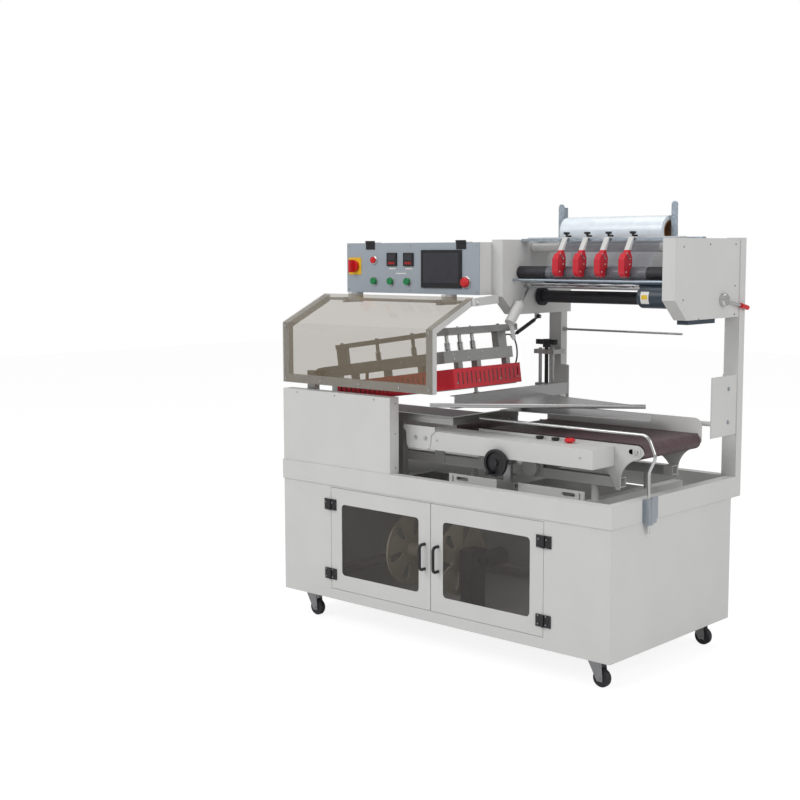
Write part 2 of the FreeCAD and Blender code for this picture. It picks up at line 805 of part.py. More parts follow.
def jaw_frame():
    """The L-shaped jaw: two beams, the light upper frame over them, posts, seal bars and its pin."""
    y0, y1 = jaw_front_y, jaw_front_y + beam_width
    bar_z0 = beam_top + upper_bar_gap
    bar_z1 = bar_z0 + upper_bar_height
    plate_x0 = cross_x0 + (beam_width - upper_plate_width) / 2
    plate_x1 = plate_x0 + upper_plate_width
    pin = cylinder((pivot_x, stand_y[0], pivot_z), Y_AXIS, jaw_pin_radius,
                   stand_y[1] + stand_thickness - stand_y[0])
    lug = prism([(pivot_x - 24, pivot_z - 24), (pivot_x + 40, beam_bottom), (pivot_x + 40, beam_top),
                 (pivot_x, pivot_z + 30), (pivot_x - 24, pivot_z + 18)], "y", y0, beam_width)
    x_beam = box(pivot_x + 40, cross_x0, y0, y1, beam_bottom, beam_top)
    y_beam = box(cross_x0, cross_x1, cross_beam_start, cross_beam_end, beam_bottom, beam_top)
    ears = []
    for y in (push_rod_y - push_rod_radius - 9, push_rod_y + push_rod_radius + 1):
        ear = box(push_rod_x - 20, push_rod_x + 20, y, y + 8, crosspin_z - 14, crosspin_z + 14)
        slot_half = crosspin_radius + crosspin_play
        ear_slot = box(push_rod_x - 10, push_rod_x + 10, y - 1, y + 9,
                       crosspin_z - slot_half, crosspin_z + slot_half)
        ears.append(ear.cut(ear_slot))
    clevis_top = box(push_rod_x - 20, push_rod_x + 20, y1, push_rod_y + push_rod_radius + 9,
                     crosspin_z + 14, crosspin_z + 24)
    clamp_rod = cylinder((clamp_rod_x, clamp_rod_y, clamp_rod_bottom), Z_AXIS, 7, beam_top - clamp_rod_bottom)
    clamp_foot = cylinder((clamp_rod_x, clamp_rod_y, clamp_rod_bottom), Z_AXIS, 12, 8)
    clamp_lug = box(clamp_rod_x - 10, cross_x0, clamp_rod_y - 14, clamp_rod_y + 14, beam_bottom + 8, beam_top - 8)
    solids = [fused([lug, pin]), x_beam, y_beam, fused([clevis_top] + ears),
              fused([clamp_rod, clamp_foot, clamp_lug])]
    upper_x = box(pivot_x + 110, plate_x0, y0 + 6, y0 + 34, bar_z0, bar_z1)
    upper_y = box(plate_x0, plate_x1, upper_plate_start, cover_end, bar_z0 - 4, bar_z1 + 4)
    solids.extend([upper_x, upper_y])
    post_block = box(pivot_x + 112, pivot_x + 160, y0 + 8, y0 + 32, beam_top, bar_z0)
    solids.append(post_block)
    for x in (pivot_x + 330, pivot_x + 520):
        solids.append(cylinder((x, y0 + 20, beam_top), Z_AXIS, 7, upper_bar_gap))
    for y in (110, 185, 260):
        solids.append(cylinder(((cross_x0 + cross_x1) / 2, y, beam_top), Z_AXIS, 7, upper_bar_gap - 4))
    solids.append(box(cross_x0 + 4, cross_x1 - 4, 400, 450, beam_top, bar_z0 - 4))
    bar0 = (beam_width - seal_bar_width) / 2
    seal_top = cover_top - sheet
    x_seal = box(cover_start_x + 6, cross_x0 + bar0, y0 + bar0, y1 - bar0, cover_bottom + 3, seal_top)
    y_seal = box(cross_x0 + bar0, cross_x1 - bar0, y0 + bar0, cover_end - 8, cover_bottom + 3, seal_top)
    blade0 = (beam_width - seal_blade_width) / 2
    x_blade = box(cover_start_x + 6, cross_x0 + blade0, y0 + blade0, y1 - blade0, seal_line_z, cover_bottom + 3)
    y_blade = box(cross_x0 + blade0, cross_x1 - blade0, y0 + blade0, cover_end - 8, seal_line_z, cover_bottom + 3)
    solids.extend([x_seal, y_seal, x_blade, y_blade])
    for x in (pivot_x + 180, pivot_x + 360, pivot_x + 540):
        solids.append(box(x, x + 24, y0 + 8, y1 - 8, cover_top, beam_bottom))
    for y in (150, 260, 440):
        solids.append(box(cross_x0 + 8, cross_x1 - 8, y, y + 24, cover_top, beam_bottom))
    return open_jaw(group(solids))


def jaw_cover():
    """The slotted hood round the seal bars, open below, drawn as one L-shaped folded cover."""
    y0 = jaw_front_y - cover_side
    y1 = y0 + cover_width
    x1 = cross_x1 + cover_side
    x0 = x1 - cover_width
    outer = fused([box(cover_start_x, x1, y0, y1, cover_bottom, cover_top),
                   box(x0, x1, y0, cover_end, cover_bottom, cover_top)])
    inner = fused([box(cover_start_x + sheet, x1 - sheet, y0 + sheet, y1 - sheet, cover_bottom, cover_top - sheet),
                   box(x0 + sheet, x1 - sheet, y0 + sheet, cover_end - sheet, cover_bottom, cover_top - sheet)])
    slot_z = (cover_bottom + cover_top) / 2 - slot_height / 2
    slots = []
    count_y = int((cover_end - y1 - 20) // slot_pitch) + 2
    for k in range(count_y):
        y = cover_end - 22 - slot_pitch * k
        slots.append(box(x1 - sheet - 1, x1 + 1, y, y + slot_width, slot_z, slot_z + slot_height))
    count_x = int((x0 - cover_start_x - 30) // slot_pitch)
    for k in range(count_x):
        x = cover_start_x + 20 + slot_pitch * k
        slots.append(box(x, x + slot_width, y0 - 1, y0 + sheet + 1, slot_z, slot_z + slot_height))
    return open_jaw(outer.cut(inner).cut(slots))


def push_rod():
    """The rod of the air cylinder, with a crosspin that runs in the slotted ears of the jaw."""
    swing = math.radians(jaw_open_angle)
    reach = push_rod_x - pivot_x
    x = pivot_x + reach * (1 + math.cos(swing)) / 2
    top = pivot_z + (crosspin_z - pivot_z) * math.cos(swing) + reach * math.sin(swing)
    r = push_rod_radius
    rod = cylinder((x, push_rod_y, top - push_rod_length), Z_AXIS, r, push_rod_length)
    pin = cylinder((x, push_rod_y - r - 10, top), Y_AXIS, crosspin_radius, 2 * r + 20)
    return fused([rod, pin])


def jaw_base():
    """The fixed lower jaw: L-shaped bar with its pad, its posts, the pivot stand and the air cylinder."""
    pad_top = seal_line_z - seat_gap
    bar_top = pad_top - pad_height
    bar_bottom = bar_top - lower_bar_height
    off = (beam_width - lower_bar_width) / 2
    y0, y1 = jaw_front_y + off, jaw_front_y + beam_width - off
    x0, x1 = cross_x0 + off, cross_x1 - off
    solids = [box(cover_start_x, x0, y0, y1, bar_bottom, bar_top),
              box(x0, x1, y0, cover_end, bar_bottom, bar_top),
              box(cover_start_x, x0 + 8, y0 + 8, y1 - 8, bar_top, pad_top),
              box(x0 + 8, x1 - 8, y0 + 8, cover_end, bar_top, pad_top)]
    for x in (cover_start_x + 20, cover_start_x + 330):
        solids.append(box(x, x + 30, y0, y0 + 30, deck_z, bar_bottom))
    solids.append(box(x0, x0 + 30, cover_end - 30, cover_end, deck_z, bar_bottom))
    stand_bore = cylinder((pivot_x, 50, pivot_z), Y_AXIS, jaw_pin_radius + running_clearance, 220)
    for y in stand_y:
        stand = box(pivot_x - 22, pivot_x + 22, y, y + stand_thickness, deck_z, pivot_z + 24)
        solids.append(stand.cut(stand_bore))
    reach = push_rod_x - pivot_x
    rod_x = pivot_x + reach * (1 + math.cos(math.radians(jaw_open_angle))) / 2
    solids.append(ring((rod_x, push_rod_y, deck_z), Z_AXIS, cylinder_radius,
                       push_rod_radius + running_clearance, cylinder_top - deck_z))
    return group(solids)


# ---------- conveyors ----------
front_plate_y = belt_front_y - belt_side_gap - side_plate
back_plate_y = belt_back_y + belt_side_gap
belt_bottom = belt_top - 2 * (nose_roller_radius + belt_thickness)
roller_z = belt_top - belt_thickness - nose_roller_radius
nose_tip_x = nose_x + nose_roller_radius + belt_thickness


def belt_loop(x0, x1):
    """A closed belt round two rollers, with straight runs between."""
    outer_r = nose_roller_radius + belt_thickness
    loops = []
    for r in (outer_r, nose_roller_radius + seat_gap):
        wire = Part.Wire([
            Part.LineSegment(V(x0, belt_front_y, roller_z + r), V(x1, belt_front_y, roller_z + r)).toShape(),
            Part.Arc(V(x1, belt_front_y, roller_z + r), V(x1 + r, belt_front_y, roller_z),
                     V(x1, belt_front_y, roller_z - r)).toShape(),
            Part.LineSegment(V(x1, belt_front_y, roller_z - r), V(x0, belt_front_y, roller_z - r)).toShape(),
            Part.Arc(V(x0, belt_front_y, roller_z - r), V(x0 - r, belt_front_y, roller_z),
                     V(x0, belt_front_y, roller_z + r)).toShape(),
        ])
        loops.append(Part.Face(wire).extrude(V(0, belt_width, 0)))
    return loops[0].cut(loops[1])


def conveyor_belts():
    r = nose_roller_radius + belt_thickness
    return group([belt_loop(infeed_start_x + r, nose_x), belt_loop(outfeed_start_x + r, outfeed_end_x - r)])


def side_outline(x0, raised):
    """The side plate in the XZ plane: straight along the belt, a nose at the roller, a curved leg below."""
    top = raised
    low = support_tube_z - 8
    nose = nose_tip_x
    edges = []
    pts = [V(x0, 0, top), V(nose - 30, 0, top)]
    edges.append(Part.LineSegment(pts[0], pts[1]).toShape())
    edges.append(Part.Arc(pts[1], V(nose - 9, 0, top - 9), V(nose, 0, top - 30)).toShape())
    shoulder = roller_z - 24
    if top - 30 > roller_z:
        edges.append(Part.LineSegment(V(nose, 0, top - 30), V(nose, 0, roller_z)).toShape())
        last = V(nose, 0, roller_z)
    else:
        last = V(nose, 0, top - 30)
    edges.append(Part.LineSegment(last, V(nose - 18, 0, shoulder)).toShape())
    edges.append(Part.Arc(V(nose - 18, 0, shoulder), V(nose - 76, 0, shoulder - 34),
                          V(nose - 96, 0, low + 34)).toShape())
    edges.append(Part.LineSegment(V(nose - 96, 0, low + 34), V(nose - 96, 0, low)).toShape())
    edges.append(Part.LineSegment(V(nose - 96, 0, low), V(nose - 112, 0, low)).toShape())
    edges.append(Part.Arc(V(nose - 112, 0, low), V(nose - 140, 0, low + 52),
                          V(nose - 188, 0, cover_top_z - cover_drop)).toShape())
    edges.append(Part.LineSegment(V(nose - 188, 0, cover_top_z - cover_drop),
                                  V(x0, 0, cover_top_z - cover_drop)).toShape())
    edges.append(Part.LineSegment(V(x0, 0, cover_top_z - cover_drop), V(x0, 0, top)).toShape())
    return Part.Wire(edges)


def side_plate_solid(x0, y, top):
    plate = Part.Face(side_outline(x0, top)).extrude(V(0, side_plate, 0))
    plate.translate(V(0, y, 0))
    return plate


roller_axle_radius = 8.0
tension_slot_back = 34.0
tension_block = 4.0
tail_x = infeed_start_x + nose_roller_radius + belt_thickness


def conveyor_frame():
    """Side plates, the folded front cover with its button holes, end bracket and support tubes."""
    front = side_plate_solid(infeed_start_x - 20, front_plate_y, belt_top - 5)
    back = side_plate_solid(infeed_start_x - 20, back_plate_y, guard_plate_top)
    back = back.cut(box(infeed_start_x - 21, guard_plate_start, back_plate_y - 1, back_plate_y + side_plate + 1,
                        belt_top - 5, guard_plate_top + 1))
    axle_hole = cylinder((nose_x, front_plate_y - 10, roller_z), Y_AXIS,
                         roller_axle_radius + running_clearance, belt_width + 40)
    tension_slot = slot_along_x(nose_x - tension_slot_back, nose_x + roller_axle_radius + 1, front_plate_y - 1,
                                belt_width + 3 * side_plate + 2 * belt_side_gap, roller_z, roller_axle_radius + 1)
    solids = [front.cut(tension_slot), back.cut(tension_slot)]
    block_gap = front_plate_y - tension_block
    for y in (block_gap, back_plate_y + side_plate):
        block = box(nose_x - 15, nose_x + 15, y, y + tension_block, roller_z - 11, roller_z + 11)
        solids.append(block.cut(axle_hole))
    cover = tray(cover_left_x, cover_right_x, cover_front_y, front_plate_y, cover_top_z - cover_drop,
                 cover_top_z, "+y")
    cover = cover.cut(box(cover_left_x + sheet, cover_right_x - sheet, cover_front_y + sheet, front_plate_y,
                          cover_top_z - cover_drop, cover_top_z - cover_drop + sheet))
    for (bx, by), hole in zip(jog_positions + [estop_position], [jog_stem, jog_stem, estop_stem]):
        cover = cover.cut(cylinder((bx, by, cover_top_z - 10), Z_AXIS, hole + running_clearance, 20))
    solids.append(cover)
    x, low = cover_left_x, cover_top_z - cover_drop
    bracket = prism([(x - 64, cover_top_z + 17), (x + 96, cover_top_z + 17), (x + 98, cover_top_z),
                     (x + 78, cover_top_z - 15), (x + 72, low + 7), (x + 60, low), (x - 38, low),
                     (x - 46, low + 9), (x - 50, cover_top_z - 9), (x - 64, cover_top_z + 1)],
                    "y", cover_front_y - side_plate, side_plate)
    solids.append(bracket)
    mount = box(drive_x - 36, drive_x + 44, front_plate_y, front_plate_y + side_plate, support_tube_z, low)
    disc = turned([(0, 0), (drive_disc_radius - 6, 0), (drive_disc_radius, 4), (drive_disc_radius, 16),
                   (drive_disc_radius - 8, 16), (drive_disc_radius - 8, 30), (0, 30)],
                  (drive_x, front_plate_y - 30, drive_z), Y_AXIS)
    motor = turned([(0, 0), (drive_motor_radius, 0), (drive_motor_radius, drive_motor_length - 8),
                    (drive_motor_radius - 8, drive_motor_length), (0, drive_motor_length)],
                   (drive_x, front_plate_y + side_plate + support_tube, drive_z + 8), Y_AXIS)
    solids.extend([mount, disc, motor])
    t = support_tube
    for y in (front_plate_y + side_plate, back_plate_y - t):
        tube = tube_bar(outfeed_start_x + 30, nose_tip_x - 96, y, y + t, support_tube_z, support_tube_z + t, "x")
        solids.append(tube)
        for x in jack_xs:
            solids.append(cylinder((x, y + t / 2, support_tube_z - jack_engagement), Z_AXIS, jack_radius,
                                   jack_engagement))
    for y in (front_plate_y, back_plate_y):
        strip = box(outfeed_start_x, outfeed_end_x, y, y + side_plate, belt_bottom - 20, belt_top - 3)
        legs = [box(x, x + 50, y, y + side_plate, support_tube_z + 4, belt_bottom)
                for x in (outfeed_start_x + 60, outfeed_end_x - 110)]
        solids.append(fused([strip] + legs))
        solids.append(box(infeed_start_x - 20, infeed_start_x + 30, y, y + side_plate,
                          support_tube_z + 4, cover_top_z - cover_drop))
    for x in (outfeed_start_x + 28, outfeed_end_x - 28):
        solids.append(cylinder((x, front_plate_y + side_plate, roller_z), Y_AXIS, nose_roller_radius,
                               belt_width + 2 * belt_side_gap))
    solids.append(cylinder((tail_x, front_plate_y + side_plate, roller_z), Y_AXIS, nose_roller_radius,
                           belt_width + 2 * belt_side_gap))
    solids.append(box(outfeed_start_x + 60, outfeed_end_x - 60, belt_front_y, belt_back_y,
                      belt_top - belt_thickness - 12, belt_top - belt_thickness - seat_gap))
    solids.append(box(tail_x + 30, nose_x - 30, belt_front_y, belt_back_y,
                      belt_top - belt_thickness - 12, belt_top - belt_thickness - seat_gap))
    return group(solids)


def nose_roller():
    r = nose_roller_radius
    inset = 1.0
    y0, y1 = front_plate_y - tension_block, back_plate_y + side_plate + tension_block
    return turned([(0, 0), (roller_axle_radius, 0), (roller_axle_radius, belt_front_y - y0 + inset),
                   (r, belt_front_y - y0 + inset), (r, belt_back_y - y0 - inset),
                   (roller_axle_radius, belt_back_y - y0 - inset), (roller_axle_radius, y1 - y0), (0, y1 - y0)],
                  (nose_x, y0, roller_z), Y_AXIS)


jog_positions = [(cover_right_x - 304.0, 206.0), (cover_right_x - 234.0, 206.0)]
estop_position = (cover_right_x - 160.0, 190.0)
jog_stem = 11.0
estop_stem = 11.0
button_travel = 3.0
estop_travel = 5.0


def push_button(base, axis, stem, cap, cap_height, stem_length):
    """A button whose stem runs in the panel and whose cap stands clear of it by its travel."""
    travel = button_travel
    return turned([(0, -stem_length), (stem, -stem_length), (stem, travel + 0.5), (cap, travel + 0.5),
                   (cap, travel + 0.5 + cap_height), (0, travel + 0.5 + cap_height)], base, axis)


def mushroom(base, axis, stem):
    """A red emergency-stop head on its stem."""
    gap = estop_travel + 0.5
    return turned([(0, -14), (stem, -14), (stem, gap), (20, gap), (20, gap + 6), (15, gap + 12), (0, gap + 14)],
                  base, axis)


def handwheel():
    """The solid-web handwheel with its hub, crank grip and shaft."""
    r = handwheel_radius
    y = cover_front_y - side_plate - 4
    wheel = turned([(0, 0), (14, 0), (14, 8), (r - 9, 12), (r - 9, 4), (r, 4), (r, 17), (r - 9, 17), (14, 18),
                    (14, 20), (7, 20), (7, 20 + 120), (0, 20 + 120)],
                   (handwheel_x, y - 20, handwheel_z), Y_AXIS)
    angle = math.radians(250)
    grip = turned([(0, 0), (6, 0), (8, -30), (0, -32)],
                  (handwheel_x + (r - 12) * math.cos(angle), y - 14, handwheel_z + (r - 12) * math.sin(angle)),
                  Y_AXIS)
    return fused([wheel, grip])


def conveyor_base():
    """The slotted base plate, its cross feet and the lift columns under the conveyor."""
    z0 = deck_z
    x0, x1, t = base_plate_x0, base_plate_x1, base_plate_thickness
    plate = box(x0, x1, base_plate_y, base_plate_y + t, z0, base_top)
    cuts = [slot_along_x(x, x + 58, base_plate_y - 1, t + 2, base_top - 17, 7) for x in (x0 + 36, x1 - 96)]
    for x in (x0 + 16, x1 - 22):
        cuts.append(box(x, x + 6, base_plate_y - 1, base_plate_y + t + 1, base_top - 34, base_top - 8))
    middle = (x0 + x1) / 2 + 10
    cuts.append(cylinder((middle, base_plate_y - 1, base_top - 12), Y_AXIS, 9, t + 2))
    plate = plate.cut(cuts)
    shelf = box(x0, x1, base_plate_y + t, base_plate_y + 60, z0, z0 + t)
    solids = [plate, shelf]
    bearing = ring((handwheel_x, base_plate_y, handwheel_z), Y_AXIS, 16, 7 + running_clearance, 30)
    web = box(handwheel_x - 16, handwheel_x + 16, base_plate_y + 8, base_plate_y + 24, z0 + 5, handwheel_z - 10)
    hole = cylinder((handwheel_x, base_plate_y - 1, handwheel_z), Y_AXIS, 15.5, 32)
    solids.append(fused([bearing, web.cut(hole)]))
    for y in (front_plate_y + side_plate + support_tube / 2, back_plate_y - support_tube / 2):
        for x in jack_xs:
            solids.append(ring((x, y, deck_z), Z_AXIS, jack_sleeve_radius, jack_radius + running_clearance,
                               support_tube_z - seat_gap - deck_z))
    return group(solids)


# ---------- film former ----------
def film_former():
    """A rail along Y that carries the upper triangle, its round front bar and the lower plate."""
    x0, x1 = former_rail_x, former_rail_x + former_rail_width
    z0 = former_rail_bottom
    rail = box(x0, x1, former_rail_start, former_rail_end, z0, z0 + former_rail_height)
    rail = rail.cut(box(x0 - 1, x1 - 3, former_rail_start - 1, former_rail_end - 3,
                        z0 + 3, z0 + former_rail_height - 3))
    nut_bore = cylinder((screw_x, guide_y, z0), Z_AXIS, screw_radius + running_clearance, 80)
    rods = [cylinder((screw_x + s * guide_spacing / 2, guide_y, z0), Z_AXIS,
                     guide_rod_radius + running_clearance, 80) for s in (-1, 1)]
    carriage = box(screw_x - 46, x1, guide_y - 16, guide_y + 16, z0 + 6, z0 + 40)
    carriage = carriage.cut([nut_bore] + rods)
    former_back_x = x1 + former_back_reach
    start = V(former_bar_x, former_bar_y, former_bar_z)
    tip = V(former_tip_x, former_tip_y, former_bar_z)
    bar = Part.makeCylinder(former_bar_radius, (tip - start).Length, start, tip - start)
    sheet_z = former_bar_z - former_sheet / 2
    edge_slope = (former_tip_y - former_bar_y) / (former_tip_x - former_bar_x)
    near_y = former_bar_y + edge_slope * (x1 - 2 - former_bar_x)
    triangle = prism([(x1 - 2, near_y), (former_tip_x, former_tip_y),
                      (former_back_x, former_tip_y + 96), (x1 - 2, former_tip_y + 130)], "z",
                     sheet_z, former_sheet)
    lower_z = former_bar_z - former_drop
    lower = prism([(x1 + 4, belt_front_y + 90), (former_tip_x + 66, belt_front_y + 162),
                   (former_tip_x - 28, belt_back_y - 40), (x1 + 4, belt_back_y - 60)],
                  "z", lower_z, former_sheet)
    hanger = box(x1 - 3, x1 + 40, former_tip_y - 8, former_tip_y + 62, lower_z + former_sheet, sheet_z)
    return group([fused([rail, carriage, bar, triangle, lower, hanger])])


screw_x = left_column_x + column_width / 2
guide_foot_z = former_rail_bottom - former_travel - 34


def former_handle():
    """The three-lobed knob on its screw."""
    z = guide_top_z + 26
    hub = cylinder((screw_x, guide_y, z), Z_AXIS, 16, 34)
    arm = box(screw_x - 42, screw_x + 42, guide_y - 11, guide_y + 11, z + 12, z + 32)
    ends = [cylinder((screw_x + s * 42, guide_y, z + 12), Z_AXIS, 11, 20) for s in (-1, 1)]
    rod_bottom = guide_foot_z
    screw = cylinder((screw_x, guide_y, rod_bottom), Z_AXIS, screw_radius, z - rod_bottom)
    return fused([hub, arm, screw] + ends)


def former_guides():
    """Two guide rods between a top block and a foot block on the left column."""
    foot_z = guide_foot_z
    tall = guide_top_z - foot_z + 24
    bore = cylinder((screw_x, guide_y, foot_z - 1), Z_AXIS, screw_radius + running_clearance, tall + 2)
    rod_xs = (screw_x - guide_spacing / 2, screw_x + guide_spacing / 2)
    rods = [cylinder((x, guide_y, foot_z), Z_AXIS, guide_rod_radius, tall) for x in rod_xs]
    left, right = screw_x - guide_block_half, screw_x + guide_block_half
    top = box(left, right, guide_y - 20, column_face, guide_top_z, guide_top_z + 18)
    foot = box(left, right, guide_y - 20, column_face, foot_z, foot_z + 16)
    solids = [top.cut([bore] + rods), foot.cut([bore] + rods)] + rods
    rod_start = (left_column_x + column_width, column_face + column_depth / 2, film_rod_z)
    rod_end = right_column_x - film_rod_from_column
    film_rod = cylinder(rod_start, X_AXIS, film_rod_radius, rod_end - rod_start[0])
    collar = ring(rod_start, X_AXIS, 2 * film_rod_radius, film_rod_radius, 12)
    solids.append(fused([film_rod, collar]))
    shaft_start = (bracket_plate_x - bracket_shaft_length, bracket_plate_front + 2 * bracket_shaft_radius,
                   bracket_shaft_z)
    solids.append(cylinder(shaft_start, X_AXIS, bracket_shaft_radius, bracket_shaft_length))
    return group(solids)


# ---------- film unit ----------
def side_box_outline(inset):
    """The outline of a side box in the YZ plane, drawn in by a wall thickness."""
    rise, run = box_chamfer_z - box_bottom, box_chamfer_depth
    slant = math.hypot(rise, run)
    corner_y = inset * (slant - rise) / run      # where the walls of the cut-off corner meet the others
    corner_z = inset * (slant - run) / rise
    return [(box_front_y + inset, column_top - inset), (box_back_y - inset, column_top - inset),
            (box_back_y - inset, box_bottom + inset), (box_chamfer_y + corner_z, box_bottom + inset),
            (box_front_y + inset, box_chamfer_z + corner_y)]


roller_positions = {
    "rubber_roller": (rubber_roller_y, rubber_roller_z),
    "drive_roller": (drive_roller_y, drive_roller_z),
    "steel_roller": (steel_roller_y, steel_roller_z),
    "cradle_roller_front": (cradle_front_y, cradle_z),
}
roll_y = cradle_front_y + cradle_spacing / 2
roll_z = cradle_z + math.sqrt((roll_radius + cradle_radius + seat_gap) ** 2 - (roll_y - cradle_front_y) ** 2)
roller_positions["cradle_roller_back"] = (2 * roll_y - cradle_front_y, cradle_z)


def side_box(x0, plate_x, out):
    """One hollow side box with bearing bosses on its inner plate; out is the side of its screwed cover."""
    shell = prism(side_box_outline(0), "x", x0, box_width)
    if out < 0:
        hollow = prism(side_box_outline(box_wall), "x", x0, box_width - box_wall)
        cover = prism(side_box_outline(box_wall), "x", x0, box_wall)
    else:
        hollow = prism(side_box_outline(box_wall), "x", x0 + box_wall, box_width - box_wall)
        cover = prism(side_box_outline(box_wall), "x", x0 + box_width - box_wall, box_wall)
    shafts = [(y, z, roller_stub_radius) for y, z in roller_positions.values()]
    shafts.append((dancer_y, dancer_z, dancer_shaft_radius))
    start = min(plate_x, plate_x + out * (box_wall + bearing_length))
    boss_start = start if out < 0 else start + box_wall
    bosses = [cylinder((boss_start, y, z), X_AXIS, bearing_radius, bearing_length) for y, z, r in shafts]
    bores = [cylinder((start - 1, y, z), X_AXIS, r + running_clearance, box_wall + bearing_length + 2)
             for y, z, r in shafts]
    return [fused([shell.cut(hollow)] + bosses).cut(bores), cover]


def film_housing():
    """The two side boxes with their covers, and the sheets between them."""
    left_body, left_cover = side_box(left_box_x, film_x0, -1)
    right_body, right_cover = side_box(right_box_x, film_x1, 1)
    lever_hole = cylinder((right_box_x + box_width - box_wall - 1, lever_y, lever_z), X_AXIS,
                          lever_stub_radius + running_clearance, box_wall + 2)
    solids = [left_body, left_cover, right_body, right_cover.cut(lever_hole)]
    solids.append(box(film_x0, film_x1, box_back_y - box_wall, box_back_y, back_sheet_bottom, column_top))
    bar_back = bar_y + bar_depth
    solids.append(box(film_x0, film_x1, bar_back, bar_back + box_wall, bar_z - bar_thickness + 3, bar_z + 5))
    pin_z = box_bottom - damper_pin_drop
    lug = box(film_x0 - 6, film_x0, damper_pin_y - 12, damper_pin_y + 12, pin_z - 8, box_bottom)
    pin = cylinder((film_x0 - 6, damper_pin_y, pin_z), X_AXIS, damper_pin_radius, 22)
    solids.append(fused([lug, pin]))
    return group(solids)


def upright(near, web_x):
    """One zinc upright beside the roll: a face plate with a round top and a web folded back."""
    half = upright_width / 2
    top = cradle_top_z + upright_height
    face_y = roll_y - 12
    plate = box(near, near + upright_width, face_y, face_y + upright_sheet, cradle_top_z, top - half)
    crown = cylinder((near + half, face_y, top - half), Y_AXIS, half, upright_sheet)
    web = box(web_x, web_x + upright_sheet, face_y + upright_sheet, roll_y + 14, cradle_top_z, top - half)
    return fused([plate, crown, web])


def film_tie_bars():
    """The flat bar the perforators clamp to, a thin tie rod and the two zinc uprights beside the roll."""
    roll_end = roll_start_x + roll_length
    solids = [
        box(film_x0, film_x1, bar_y, bar_y + bar_depth, bar_z - bar_thickness, bar_z),
        cylinder((film_x0, box_front_y + tie_rod_inset, tie_rod_z), X_AXIS, tie_rod_radius, film_x1 - film_x0),
        upright(roll_start_x - 12 - upright_width, roll_start_x - 12 - upright_sheet),
        upright(roll_end + 12, roll_end + 12),
    ]
    for x0, x1 in ((film_x0 - 24, roll_start_x - 4), (roll_end + 4, film_x1 + 24)):
        solids.append(box(x0, x1, roll_y - 14, roll_y + 14, column_top, cradle_top_z))
    return group(solids)


def film_roller(name, radius):
    y, z = roller_positions[name]
    return axle_run(film_x0 - roller_stub_length, film_x1 + roller_stub_length, y, z, radius,
                    roller_stub_radius, roller_stub_length + roller_end_gap)


def drive_roller():
    y, z = roller_positions["drive_roller"]
    roller = film_roller("drive_roller", drive_roller_radius)
    r, w = drive_pulley_radius, drive_pulley_width
    pulley = turned([(0, 0), (r, 0), (r, 3), (r - 4, 4), (r - 4, w - 4), (r, w - 3), (r, w), (0, w)],
                    (film_x0 + roller_end_gap + 5, y, z), X_AXIS)
    return fused([roller, pulley])


def film_roll():
    film = ring((roll_start_x, roll_y, roll_z), X_AXIS, roll_radius, core_radius, roll_length)
    core = ring((roll_start_x, roll_y, roll_z), X_AXIS, core_radius, core_radius - core_wall, roll_length)
    return group([film, core])


def perforator(x):
    """An arm hooked on the flat bar, with its clamp knob, red wheel guard and needle wheel."""
    half = perforator_width / 2
    touch = rubber_roller_radius + perforator_wheel_radius + seat_gap
    wheel_y = rubber_roller_y - math.sqrt(touch ** 2 - perforator_wheel_rise ** 2)
    wheel_z = rubber_roller_z + perforator_wheel_rise
    under, strap = bar_z + seat_gap, perforator_strap
    r = perforator_guard_radius - 5
    strap_x = x - half + 3
    arm = prism([(perforator_pivot_y, under), (perforator_pivot_y, under + strap), (bar_y - 8, under + strap),
                 (wheel_y + 1, wheel_z + 62), (wheel_y + 16, wheel_z + 56), (bar_y - 5, under)],
                "x", strap_x, perforator_width - 6)
    eye = cylinder((strap_x, perforator_pivot_y, perforator_pivot_z), X_AXIS, perforator_eye_radius,
                   perforator_width - 6)
    left = x - half
    outline = [V(left, wheel_y - r, wheel_z), V(left, wheel_y - r, wheel_z + 40),
               V(left, wheel_y - r + 16, wheel_z + 62), V(left, wheel_y + 20, wheel_z + 66),
               V(left, wheel_y + r + 4, wheel_z + 44), V(left, wheel_y + r, wheel_z)]
    edges = [Part.LineSegment(a, b).toShape() for a, b in zip(outline, outline[1:])]
    edges.append(Part.Arc(outline[-1], V(left, wheel_y, wheel_z - r), outline[0]).toShape())
    guard = Part.Face(Part.Wire(edges)).extrude(V(perforator_width, 0, 0))
    rims = [e for e in guard.Edges if abs(e.BoundBox.XLength) < 0.01]
    guard = guard.makeFillet(2.0, rims)
    pocket = box(x - half + 3, x + half - 3, wheel_y + r - 22, wheel_y + r + 20, wheel_z - r - 5, wheel_z + 34)
    clear = cylinder((x - half - 1, rubber_roller_y, rubber_roller_z), X_AXIS, rubber_roller_radius + 3,
                     perforator_width + 2)
    guard = guard.cut([pocket, clear])
    wheel = cylinder((x - 2.5, wheel_y, wheel_z), X_AXIS, perforator_wheel_radius, 5)
    knob = turned([(0, 0), (4, 0), (4, 8), (12, 11), (12, 18), (0, 19)], (x, bar_y + 2, under + strap), Z_AXIS)
    return group([fused([arm, eye, guard, wheel]), knob])


